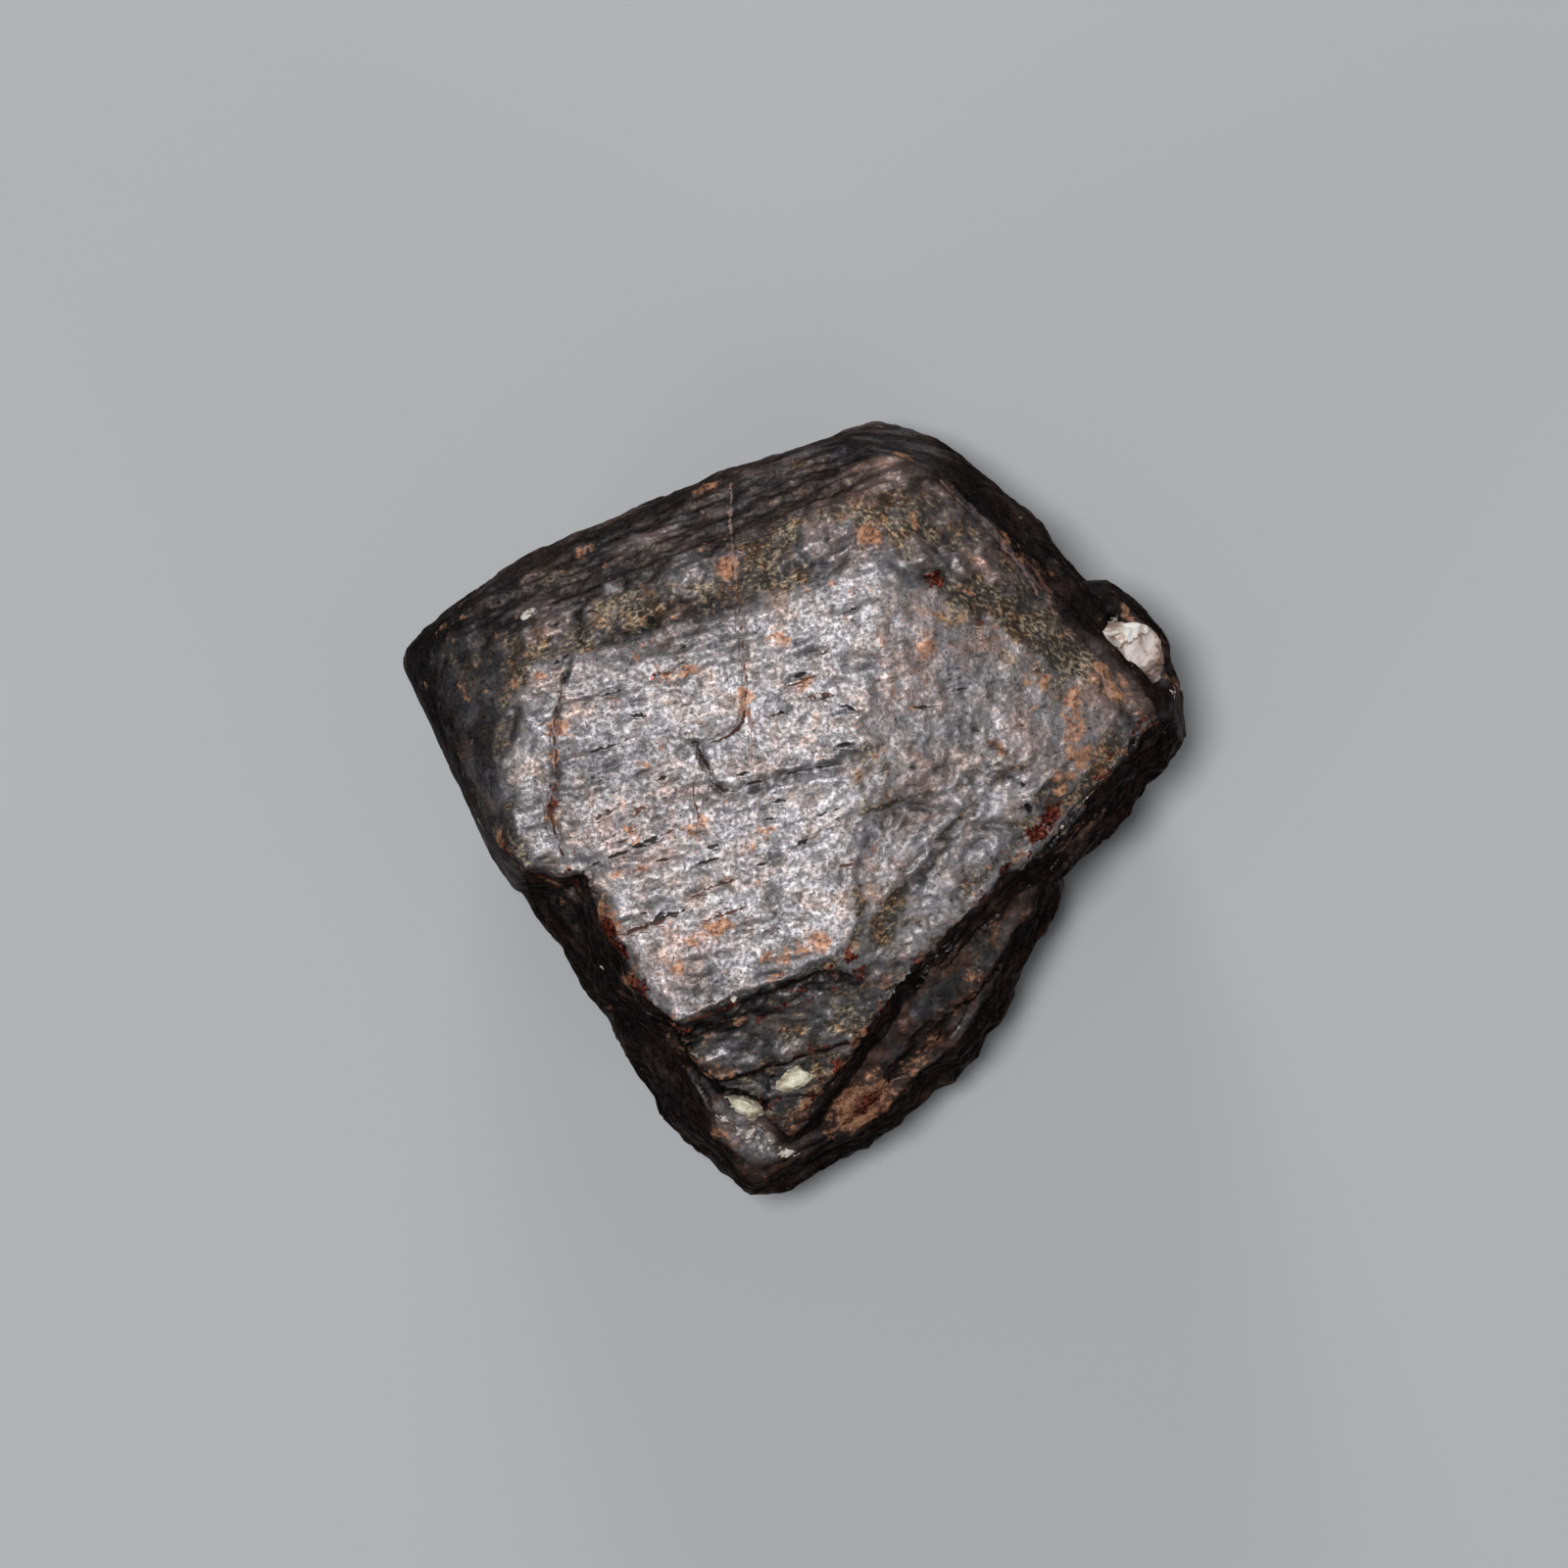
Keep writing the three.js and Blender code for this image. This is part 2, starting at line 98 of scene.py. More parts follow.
def soft_box(name, at, size, watts):
    """A round area light, its place and its width in millimetres."""
    data = bpy.data.lights.new(name, "AREA")
    data.shape = "DISK"
    data.size = size * MM
    data.energy = watts
    lamp = bpy.data.objects.new(name, data)
    lamp.location = Vector(at) * MM
    aim = Vector(AIM) - Vector(at)
    lamp.rotation_euler = aim.to_track_quat("-Z", "Y").to_euler()
    bpy.context.collection.objects.link(lamp)


# Name, place, width, watts.
soft_box("key_box", (-40, 14, 340), 66, 1.0)
soft_box("back_box", (-60, 330, 110), 130, 0.55)
soft_box("left_fill", (-230, -210, 120), 130, 0.16)
soft_box("right_fill", (230, -210, 120), 130, 0.15)
world = bpy.data.worlds.new("sky")
world.use_nodes = True
background = world.node_tree.nodes["Background"]
background.inputs["Color"].default_value = (0.9, 0.95, 1, 1)
background.inputs["Strength"].default_value = SKY
bpy.context.scene.world = world
bpy.context.scene.view_settings.view_transform = "Standard"
print("soft boxes:", len(bpy.data.lights))

# %% [markdown]
# ## Small helpers for the node materials
# A material here is one Principled shader. Its nodes could be placed by hand in the
# editor, but the finishes need dozens of them. These helpers add a node, set its plain
# numbers and join it up, so that the finishes below read as a list of decisions.

# %% Material helpers
def new_material(name, **plain):
    material = bpy.data.materials.new(name)
    material.use_nodes = True
    shader = material.node_tree.nodes["Principled BSDF"]
    for socket, value in plain.items():
        shader.inputs[socket.replace("_", " ")].default_value = value
    return material, shader


class Graph:
    """Adds nodes to a material; a value that is itself a socket is linked."""

    def __init__(self, material):
        self.tree = material.node_tree
        self.place = self.add("ShaderNodeTexCoord").outputs["Object"]

    def add(self, kind, **inputs):
        node = self.tree.nodes.new(kind)
        for name, value in inputs.items():
            self.put(node.inputs[name.replace("_", " ")], value)
        return node

    def put(self, socket, value):
        if isinstance(value, bpy.types.NodeSocket):
            self.tree.links.new(value, socket)
        else:
            socket.default_value = value

    def noise(self, size, detail=2, rough=0.55, place=None):
        """Soft noise whose lumps are about so many millimetres apart, from 0 to 1."""
        node = self.add("ShaderNodeTexNoise", Scale=1 / (size * MM), Detail=detail)
        self.put(node.inputs["Roughness"], rough)
        self.put(node.inputs["Vector"], place or self.place)
        return node.outputs["Fac"]

    def stretched(self, turn, long):
        """Coordinates for a pattern that is drawn out along one plan direction."""
        node = self.add("ShaderNodeMapping", Vector=self.place)
        node.vector_type = "TEXTURE"
        node.inputs["Rotation"].default_value = (0, 0, math.radians(turn))
        node.inputs["Scale"].default_value = (long, 1, 1)
        return node.outputs["Vector"]

    def layer(self, name):
        """A share from 0 to 1 that is stored at each vertex."""
        node = self.add("ShaderNodeAttribute")
        node.attribute_name = name
        return node.outputs["Fac"]

    def maths(self, operation, *values):
        node = self.add("ShaderNodeMath")
        node.operation = operation
        for socket, value in zip(node.inputs, values):
            self.put(socket, value)
        return node.outputs[0]

    def sum(self, a, b, times=1.0):
        """a + times * b"""
        return self.maths("MULTIPLY_ADD", b, times, a)

    def centred(self, pattern):
        """A pattern from 0 to 1, moved to -0.5 to 0.5."""
        return self.sum(pattern, -0.5)

    def times(self, a, b):
        return self.maths("MULTIPLY", a, b)

    def scaled(self, colour, factor):
        """A colour made darker or lighter."""
        node = self.add("ShaderNodeVectorMath")
        node.operation = "SCALE"
        self.put(node.inputs["Vector"], colour)
        self.put(node.inputs["Scale"], factor)
        return node.outputs["Vector"]

    def tinted(self, colour, share, tint):
        """A colour multiplied by a tint, as far as the share says."""
        node = self.add("ShaderNodeVectorMath")
        node.operation = "MULTIPLY"
        self.put(node.inputs[0], colour)
        self.put(node.inputs[1], self.mix(share, (1, 1, 1, 1), (*tint, 1)))
        return node.outputs["Vector"]

    def step(self, value, low, high, first=0.0, last=1.0):
        """A smooth step: first below low, last above high."""
        node = self.add("ShaderNodeMapRange")
        node.interpolation_type = "SMOOTHSTEP"
        for socket, given in zip(node.inputs, (value, low, high, first, last)):
            self.put(socket, given)
        return node.outputs["Result"]

    def mix(self, share, a, b):
        """Colour a turning into colour b."""
        node = self.add("ShaderNodeMix")
        node.data_type = "RGBA"
        self.put(node.inputs["Factor"], share)
        self.put(node.inputs["A"], a)
        self.put(node.inputs["B"], b)
        return node.outputs["Result"]

    def ramp(self, value, *stops):
        """A colour for each share, given as (share, colour) stops."""
        node = self.add("ShaderNodeValToRGB", Fac=value)
        elements = node.color_ramp.elements
        while len(elements) < len(stops):
            elements.new(1.0)
        for element, (share, colour) in zip(elements, stops):
            element.position = share
            element.color = (*colour, 1)
        return node.outputs["Color"]

    def bump(self, height, depth, under=None):
        """Relief so many millimetres deep, over the relief under it."""
        node = self.add("ShaderNodeBump", Height=height, Distance=depth * MM)
        if under is not None:
            self.put(node.inputs["Normal"], under)
        return node.outputs["Normal"]


# %% [markdown]
# ## Floor
# The crystal lies on a plain pale sheet, big enough that no view sees its edge. One flat square is
# enough. It isn't part of the crystal.

# %% Floor
FLOOR = 1.6  # metres across

floor_shape = bmesh.new()
bmesh.ops.create_grid(floor_shape, x_segments=1, y_segments=1, size=FLOOR / 2)
floor_mesh = bpy.data.meshes.new("floor")
floor_shape.to_mesh(floor_mesh)
floor_shape.free()
floor = bpy.data.objects.new("floor", floor_mesh)
bpy.context.collection.objects.link(floor)
paper, paper_shader = new_material("floor_paper", Roughness=0.8)
paper_shader.inputs["Base Color"].default_value = (0.34, 0.35, 0.36, 1)
floor_mesh.materials.append(paper)
print("floor, metres across:", FLOOR)

# %% [markdown]
# ## The plan drawing
# Cracks, ledges, stains and grains are placed on a plan drawing of the crystal. Its
# squares are 0.0225 mm, counted from the top left, so that a line is a short list of
# whole numbers. Lines are turned into millimetres once, here.

# %% Plan points
SQUARE = 0.0225  # mm
ORIGIN = (811.1, 826.2)  # the square that the origin lies in


def plan(*squares):
    """Plan points in millimetres, from (column, row) squares."""
    return np.array([((c - ORIGIN[0]) * SQUARE, (ORIGIN[1] - r) * SQUARE) for c, r in squares])


# %% Distances and masks in plan
def smooth_step(value, low, high):
    """0 below low, 1 above high, and smooth between."""
    share = np.clip((value - low) / (high - low), 0, 1)
    return share * share * (3 - 2 * share)


def along_line(points, line):
    """How far each point is from a line in plan, where along it (0 to 1), and which side."""
    steps = np.diff(line, axis=0)
    lengths = np.linalg.norm(steps, axis=1)
    before = np.concatenate([[0], np.cumsum(lengths)])
    best = np.full(len(points), 1e9)
    where = np.zeros(len(points))
    side = np.ones(len(points))
    for start, step, length, done in zip(line, steps, lengths, before):
        off = points[:, :2] - start
        share = np.clip(off @ step / length**2, 0, 1)
        away = np.linalg.norm(off - share[:, None] * step, axis=1)
        near = away < best
        best = np.where(near, away, best)
        where = np.where(near, (done + share * length) / before[-1], where)
        turn = np.sign(step[0] * off[:, 1] - step[1] * off[:, 0])
        side = np.where(near, turn, side)
    return best, where, side


def inside(points, outline, soft):
    """1 well inside a closed outline, 0 well outside, with an edge so many mm soft."""
    ring = np.vstack([outline, outline[:1]])
    away, _, _ = along_line(points, ring)
    crossings = np.zeros(len(points), bool)
    for (x0, y0), (x1, y1) in zip(ring[:-1], ring[1:]):
        if y0 == y1:
            continue
        spans = (points[:, 1] > min(y0, y1)) & (points[:, 1] <= max(y0, y1))
        x = x0 + (points[:, 1] - y0) * (x1 - x0) / (y1 - y0)
        crossings ^= spans & (points[:, 0] < x)
    return smooth_step(np.where(crossings, away, -away), -soft / 2, soft / 2)


# %% [markdown]
# ## A skin for the crystal
# The solid has flat faces and long thin triangles, which can't carry fine relief.
# Subdividing them would give needles, so a copy is remeshed into small even squares, and
# each vertex goes back to the nearest point of the solid. The solid's hull is kept too:
# it is the growth faces without the furrows that the solid has cut in them.

# %% Shapes in millimetres
def in_millimetres(node):
    """The node's own shape, merged, as a bmesh in millimetres."""
    shape = bmesh.new()
    shape.from_mesh(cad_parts[node].data)
    bmesh.ops.scale(shape, vec=(1 / MM,) * 3, verts=shape.verts)
    bmesh.ops.remove_doubles(shape, verts=shape.verts, dist=1e-4)
    return shape


def remeshed(shape, cell):
    """The same form in even squares."""
    mesh = bpy.data.meshes.new("rough")
    shape.to_mesh(mesh)
    holder = bpy.data.objects.new("rough", mesh)
    bpy.context.collection.objects.link(holder)
    remesh = holder.modifiers.new("even", "REMESH")
    remesh.mode = "VOXEL"
    remesh.voxel_size = cell
    graph = bpy.context.evaluated_depsgraph_get()
    even = bmesh.new()
    even.from_mesh(holder.evaluated_get(graph).to_mesh())
    bpy.data.objects.remove(holder)
    bpy.data.meshes.remove(mesh)
    return even


def snapped(co, tree, reach):
    """The nearest point of a surface, if it is within reach."""
    found, _, _, _ = tree.find_nearest(co, reach)
    return found or co


# %% Remesh
CELL = 0.14  # mm

solid = in_millimetres("rutile_crystal")
surface = BVHTree.FromBMesh(solid)
whole = solid.copy()
hull = bmesh.ops.convex_hull(whole, input=whole.verts)["geom"]
hull_faces = {part for part in hull if isinstance(part, bmesh.types.BMFace)}
inner_faces = [face for face in whole.faces if face not in hull_faces]
bmesh.ops.delete(whole, geom=inner_faces, context="FACES")
envelope = BVHTree.FromBMesh(whole)
whole.free()
skin = remeshed(solid, CELL)
for vertex in skin.verts:
    vertex.co = snapped(vertex.co, surface, 0.8 * CELL)
print("skin:", len(skin.verts), "vertices")

# %% [markdown]
# ## Which parts grew and which broke
# Growth faces carry striations and are worn. The breaks that look down and to the right
# or left are fresh and hackly. Painting a mask by hand would do, but the normals tell them
# apart just as well: the breaks are steep and look towards the lower half of the plan.
# Two more rough fields are drawn on the plan: the hollow in the right front face and the
# stepped foot by the tip.

# %% Zones
HOLLOW = plan(
    (868, 800), (900, 760), (990, 735), (1060, 770), (1120, 770), (1080, 850), (980, 950),
    (905, 1020), (850, 985), (866, 930), (862, 860),
)
FOOT = plan((660, 1040), (830, 990), (900, 1010), (870, 1085), (800, 1165), (740, 1130))


class Zones:
    """Where each vertex of the skin is, which way it faces and what it belongs to."""

    def __init__(self):
        skin.normal_update()
        self.at = np.array([vertex.co[:] for vertex in skin.verts])
        self.facing = np.array([vertex.normal[:] for vertex in skin.verts])
        self.height = self.at[:, 2]
        # Degrees: round from +X, and away from straight up.
        self.azimuth = np.degrees(np.arctan2(self.facing[:, 1], self.facing[:, 0])) % 360
        self.tilt = np.degrees(np.arccos(np.clip(self.facing[:, 2], -1, 1)))
        lower_half = smooth_step(self.azimuth, 193, 205) * smooth_step(-self.azimuth, -350, -338)
        self.lower_half = lower_half
        left_end = smooth_step(-self.at[:, 0], 6.1, 6.6)
        steep = smooth_step(self.tilt, 42, 60) * smooth_step(-self.tilt, -165, -140)
        upper = smooth_step(self.height, 8.0, 8.6)
        self.broken = steep * lower_half * (1 - left_end)
        self.hollow = inside(self.at, HOLLOW, 0.6) * upper
        self.foot = inside(self.at, FOOT, 0.4) * upper
        self.crisp = np.maximum.reduce([self.broken, 0.45 * self.hollow, 0.85 * self.foot])


zones = Zones()
print("broken share:", round(float(zones.broken.mean()), 3))

# %% [markdown]
# ## Wear
# A crystal that has rolled about has lost its sharp edges, and a fresh break keeps them.
# So the growth faces are drawn to the hull and smoothed, while what is crisp is held. A
# bevel would round every edge alike, and smoothing wears a corner more than an edge, as
# rolling does. The edges between the upper faces are worn wider and get a second round.
# Then the upper faces, which are looked at most, are cut twice as fine.

# %% Smoothing
def worn(values, hold, passes):
    """Smooths the skin: a vertex that isn't held moves to its neighbours' middle."""
    place = {vertex: index for index, vertex in enumerate(skin.verts)}
    pairs = np.array([[place[v] for v in edge.verts] for edge in skin.edges])
    ends = np.concatenate([pairs[:, 0], pairs[:, 1]])
    others = np.concatenate([pairs[:, 1], pairs[:, 0]])
    count = np.bincount(ends, minlength=len(values))
    share = 0.5 * (1 - hold)
    for _ in range(passes):
        for axis in range(3):
            total = np.bincount(ends, values[others, axis], len(values))
            values[:, axis] += share * (total / count - values[:, axis])
    return values


def move_skin(values):
    for vertex, co in zip(skin.verts, values):
        vertex.co = co


# %% Worn growth faces
WEAR_PASSES = 14  # rounds an edge over about half a millimetre
TOP_PASSES = 16  # the edges between the upper faces are worn wider
FURROW = 0.45  # mm, deeper than any furrow that the solid has cut in a growth face

for vertex, hold in zip(skin.verts, zones.crisp):
    if hold < 0.5:
        vertex.co = snapped(vertex.co, envelope, FURROW)
zones.at = Zones().at
move_skin(worn(zones.at, zones.crisp, WEAR_PASSES))
below_top = 1 - smooth_step(zones.height, 8.4, 9.2)
move_skin(worn(zones.at, np.maximum(zones.crisp, below_top), TOP_PASSES))
print("worn: passes", WEAR_PASSES, "and", TOP_PASSES)

# %% Finer squares on top
skin.normal_update()
# The keys of a dict keep their order, which a set doesn't, so every run cuts alike.
upper_edges = dict.fromkeys(
    edge
    for face in skin.faces
    if face.normal.z > 0.55 and face.calc_center_median().z > 7
    for edge in face.edges
)
bmesh.ops.subdivide_edges(skin, edges=list(upper_edges), cuts=1, use_grid_fill=True)
bmesh.ops.triangulate(skin, faces=[face for face in skin.faces if len(face.verts) > 4])
print("skin:", len(skin.verts), "vertices,", sum(len(face.verts) - 2 for face in skin.faces), "triangles")

# %% [markdown]
# ## Crisp breaks and ledges
# The new squares have blunted the breaks a little. They go back to the solid: steep parts
# to its nearest point, and the hollow and the foot straight down onto it. There each
# vertex looks at a point that wanders, so that a ledge or a crack isn't ruled straight.

# %% Crisp parts go back to the solid
DRIFT = 0.13  # mm, how far a ledge or crack may wander sideways

# Without a seed, noise_vector starts from the clock, and every run would wander anew.
noise.seed_set(1)


def top_of_solid(x, y):
    """The highest point of the solid over a plan point, or None beside it."""
    found, _, _, _ = surface.ray_cast(Vector((x, y, THICK + 1)), Vector((0, 0, -1)))
    return found


def drift(point, size, amount):
    """A sideways wander, the same for near points."""
    return amount * noise.noise_vector(point / size)


def on_solid(vertex):
    """The solid's height over a point that wanders; on steep parts, its nearest point."""
    if vertex.normal.z > 0.5:
        start = vertex.co + drift(vertex.co, 0.9, DRIFT) + drift(vertex.co, 0.3, DRIFT / 2)
        found = top_of_solid(start.x, start.y)
        if found is not None and abs(found.z - vertex.co.z) < 4 * CELL:
            return (vertex.co.x, vertex.co.y, found.z)
    return snapped(vertex.co, surface, 2 * CELL)[:]


zones = Zones()
share = zones.crisp[:, None]
solid_places = np.array([on_solid(vertex) for vertex in skin.verts])
zones.at += share * (solid_places - zones.at)
print("crisp vertices:", int((zones.crisp > 0.5).sum()))

# %% [markdown]
# ## Sockets
# Two small grains of feldspar sit in the foot, and the rock closes round such a grain
# without a gap. So each socket is filled nearly to the plane of the rock round it, which is
# fitted to a ring of vertices. A boolean cut would leave a dark slit round the grain.

# %% Sockets filled round the two small grains
SOCKETS = plan((810, 1101), (758, 1136))
SOCKET = 0.42  # mm, half its length
BELOW = 0.05  # mm, how far the fill stays under the rock
FINE_PASSES = 3

for middle in SOCKETS:
    away = np.linalg.norm(zones.at[:, :2] - middle, axis=1)
    ring = (away > 1.3 * SOCKET) & (away < 1.9 * SOCKET) & (zones.tilt < 55) & (zones.height > 7)
    flat = np.column_stack([zones.at[ring, :2], np.ones(ring.sum())])
    slope = np.linalg.lstsq(flat, zones.at[ring, 2], rcond=None)[0]
    level = zones.at[:, 0] * slope[0] + zones.at[:, 1] * slope[1] + slope[2]
    fill = smooth_step(-away, -1.4 * SOCKET, -SOCKET) * (zones.height > 6)
    zones.at[:, 2] += fill * np.clip(level - BELOW - zones.at[:, 2], 0, 0.6)
move_skin(worn(zones.at, zones.broken, FINE_PASSES))
zones = Zones()
at = zones.at
print("sockets:", len(SOCKETS))

# %% [markdown]
# ## Relief
# Everything under about half a millimetre is raised here, in the mesh, so that it is
# there from every side: striations, pits, ledges and hackles. A bump in the finish would
# be flat at the outline. The relief is noise, drawn out along the prism that a face
# belongs to. Breaks get sharp ridges and shallow round hollows, as glass has. Only the
# sparkle, which is finer than the mesh, is left to the finish.

# %% Noise on the skin
PRISM_AXIS = 15  # degrees, plan direction of the left prism's striations
SLOPE_AXIS = 22  # of the slopes above the left front face
RIGHT_AXIS = 133  # and of the right prism's striations


def lumps(size, octaves=3, turn=0.0, shape=(1, 1, 1), seed=0.0):
    """Fractal noise about -1 to 1, lumps so many mm apart, drawn out by shape."""
    c, s = math.cos(math.radians(turn)), math.sin(math.radians(turn))
    along = at[:, 0] * c + at[:, 1] * s
    across = at[:, 1] * c - at[:, 0] * s
    drawn = np.stack([along / shape[0], across / shape[1], at[:, 2] / shape[2]], 1)
    drawn = drawn / size + seed
    return np.array([noise.fractal(Vector(p), 1.0, 2.0, octaves) for p in drawn])


coarse = lumps(1.6, 3, seed=3.1)
medium = lumps(0.45, 3, seed=11.7)
fine = lumps(0.15, 2, seed=5.3)
stria_front = lumps(0.32, 3, PRISM_AXIS, (5, 1, 1), seed=21.0)
stria_left = lumps(0.4, 3, SLOPE_AXIS, (8, 1, 1), seed=2.0)
stria_right = lumps(0.4, 3, RIGHT_AXIS, (8, 1, 1), seed=8.0)


def scallop_field(size, warp):
    """Shallow round hollows with sharp rims between them, as a glassy break has; 0 to 1."""
    sway = np.stack([coarse, lumps(size, 2, seed=55.0), lumps(size, 2, seed=56.0)], 1)
    nearest = [noise.voronoi(Vector(p))[0][0] for p in at / size + warp * sway]
    return np.clip(1 - np.array(nearest) ** 2, 0, 1)


scallops = scallop_field(2.5, 0.35)
print("noise spread:", round(float(coarse.std()), 3), round(float(medium.std()), 3))

# %% Faces
RIGHT_OF_RIDGE = plan(
    (905, 560), (1240, 640), (1240, 1000), (850, 1000), (858, 880), (862, 790), (890, 690)
)

front = smooth_step(-zones.tilt, -24, -12) * smooth_step(zones.height, 8.4, 9.0)
right_front = front * inside(at, RIGHT_OF_RIDGE, 0.5)
left_front = front * (1 - right_front)
faces_up = smooth_step(zones.azimuth, 80, 95) * smooth_step(-zones.azimuth, -175, -150)
faces_right = smooth_step(zones.azimuth, 0, 20) * smooth_step(-zones.azimuth, -80, -65)
sloping = smooth_step(zones.tilt, 14, 24)
shoulder = sloping * smooth_step(-zones.tilt, -50, -36) * (zones.height > 8) * (1 - zones.broken)
print("front shares:", round(float(left_front.mean()), 3), round(float(right_front.mean()), 3))

# %% Slopes, breaks, hollow and foot
# Lift in millimetres: what all faces have, then what each kind adds.
knobs = lumps(0.75, 3, SLOPE_AXIS, (1.8, 1, 1), seed=13.0)
relief = 0.05 * coarse + 0.022 * medium + 0.007 * fine
relief += shoulder * (0.11 * knobs + 0.03 * medium)
relief += sloping * faces_up * (0.055 * stria_left + 0.09 * knobs + 0.02 * medium)
relief += sloping * faces_right * (0.055 * stria_right + 0.08 * knobs)

# Hackles are sharp because noise is folded at zero.
hackle = 1 - 2 * np.abs(lumps(1.9, 4, seed=30.0))
relief += zones.broken * (0.15 * hackle + 0.05 + 0.025 * medium - 0.18 * scallops)
ribs = 1 - 2.2 * np.abs(lumps(0.85, 3, 38, (2.4, 1, 1), seed=44.0))
rough_field = lumps(0.2, 3, 30, (1.3, 1, 1), seed=47.0)
relief += zones.hollow * (0.01 * ribs + 0.025 * medium + 0.04 * rough_field + 0.02 * fine)
relief += zones.foot * (0.07 * lumps(0.6, 4, 15, (2, 1, 1), seed=52.0) + 0.015 * rough_field)

# Pits, in the hollow and some on the foot.
pits = smooth_step(lumps(0.28, 2, 35, (1.6, 1, 1), seed=63.0), 0.22, 0.5)
pits *= np.maximum(zones.hollow, 0.6 * zones.foot)
relief -= 0.06 * pits
print("relief, mm:", round(float(relief.min()), 3), "to", round(float(relief.max()), 3))

# %% [markdown]
# ## Growth steps
# The left front face grew in low steps that run along its prism. Each rises slowly over
# most of its width and drops sharply. A saw of the distance across the prism makes them,
# and noise bends them and lets them fade, because drawn steps would look ruled.

# %% Growth steps and dents on the left front
STEP_PITCH = 0.62  # mm between the low growth steps
STEP_RISE = 0.05  # mm
SLOW = 0.82  # the share of a step that rises slowly

turn = math.radians(PRISM_AXIS)
across_axis = at[:, 1] * math.cos(turn) - at[:, 0] * math.sin(turn)
run = (across_axis + 0.28 * coarse + 0.12 * stria_front) / STEP_PITCH
saw = run - np.floor(run)
steps = np.where(saw < SLOW, saw / SLOW, (1 - saw) / (1 - SLOW))
patches = smooth_step(lumps(1.1, 2, PRISM_AXIS, (2.5, 1, 1), seed=71.0), -0.15, 0.35)
relief += left_front * STEP_RISE * steps * patches
relief += left_front * 0.018 * stria_front
dents = smooth_step(lumps(0.24, 3, PRISM_AXIS, (2.2, 1, 1), seed=61.0), 0.30, 0.48)
relief -= (left_front + 0.5 * right_front + 0.5 * shoulder) * 0.028 * dents
print("relief, mm:", round(float(relief.min()), 3), "to", round(float(relief.max()), 3))

# %% [markdown]
# ## Furrows and ribs
# A few cracks, furrows and ribs can be told apart by eye, so each is drawn on the plan, where noise
# couldn't place them. A furrow tapers to its ends and is uneven, so that it looks broken and not cut with
# a tool. It keeps its darkness, which is dirt and painted shade, and its rust and red glass for the
# finish. A rib stands up, is rubbed, and is painted bright as a highlight.

# %% How a furrow is cut and a rib raised
uneven = lumps(0.35, 2, seed=77.0)
marks = {name: np.zeros(len(at)) for name in ("cut", "dirt_and_shade", "rust", "red", "rubbed_and_sheen")}
upper = (zones.tilt < 62) & (zones.height > 7)


def wandering(amount):
    """The vertices moved sideways a little, so that a drawn line isn't straight."""
    return at + amount * np.stack([medium, coarse, 0 * coarse], 1)


def carve(line, width, depth, dirt_and_shade=1.0, rust=0.0, red=0.0, ragged=1.0):
    """A furrow along a plan line on the upper faces, tapered, coloured unevenly and painted dark as dirt
    and shade.
    """
    depth_share = np.clip(0.8 + 1.1 * ragged * uneven, 0.15, 1.15)
    away, where, _ = along_line(wandering(0.12), line)
    taper = smooth_step(where, -0.02, 0.2) * smooth_step(1 - where, -0.02, 0.2)
    taper *= depth_share
    reach = width * (0.35 + 0.65 * taper) * np.clip(1 + 0.9 * medium, 0.45, 1.7)
    share = smooth_step(-away, -reach, -0.1 * reach) * upper * depth_share
    halo = smooth_step(-away, -2.5 * reach, -0.3 * reach) * upper
    marks["cut"] += depth * share
    marks["dirt_and_shade"] = np.maximum(marks["dirt_and_shade"], dirt_and_shade * share)
    marks["rust"] = np.maximum(marks["rust"], rust * halo)
    marks["red"] = np.maximum(marks["red"], red * share)


def rib(line, width, height):
    """A raised ridge, which catches the light, is rubbed, and is painted bright as a highlight."""
    away, where, _ = along_line(wandering(0.1), line)
    taper = smooth_step(where, -0.02, 0.3) * smooth_step(1 - where, -0.02, 0.3)
    share = smooth_step(-away, -width, 0) * taper * upper
    marks["cut"] -= height * share
    marks["rubbed_and_sheen"] = np.maximum(marks["rubbed_and_sheen"], share)


# %% Furrows on the left front face
# Each line of the plan, then width and depth in mm, then the shares of dirt and painted shade, of rust
# and of red.
STEP_CRACK = plan(
    (700, 755), (712, 760), (722, 790), (735, 805), (760, 800), (800, 790), (850, 780), (885, 765)
)
BLOCK_CRACK = ((575, 690), (565, 740), (568, 790), (560, 830), (572, 870), (585, 905))

carve(STEP_CRACK[:4], 0.12, 0.09, 0.5, 0.2)
carve(STEP_CRACK[3:], 0.34, 0.09, 0.25)
carve(plan((733, 798), (750, 808), (775, 806)), 0.16, 0.10, 0.55)
carve(plan(*BLOCK_CRACK), 0.09, 0.04, 0.35, 0.5)
carve(plan((596, 612), (588, 632), (593, 655), (580, 676), (575, 700)), 0.10, 0.10, 0.7)
carve(plan((560, 640), (588, 636)), 0.08, 0.08, 0.4)

# %% Furrows on the foot, then in the hollow
carve(plan((751, 1038), (770, 1024), (790, 1017), (809, 1007), (828, 996)), 0.12, 0.2, 1.0)
carve(plan((694, 1063), (719, 1057), (751, 1045), (759, 1042)), 0.10, 0.12, 0.9, 0.3)
carve(plan((764, 1062), (780, 1072), (790, 1088)), 0.28, 0.10, 0.4)
carve(plan((911, 842), (922, 819), (943, 823), (962, 825), (985, 827)), 0.24, 0.16, 0.45, ragged=0.3)
carve(plan((950, 862), (974, 848), (1004, 841), (1038, 843)), 0.26, 0.18, 0.4, ragged=0.3)
carve(plan((980, 880), (992, 865), (1007, 853)), 0.18, 0.12, 0.4, ragged=0.3)
carve(plan((893, 870), (900, 830), (925, 800), (950, 796)), 0.5, 0.12, 0.3, ragged=0.3)
carve(plan((1033, 792), (1045, 800)), 0.10, 0.12, 1.0)
carve(plan((1008, 760), (1028, 766)), 0.13, 0.14, 1.0, 0.6, 0.5)
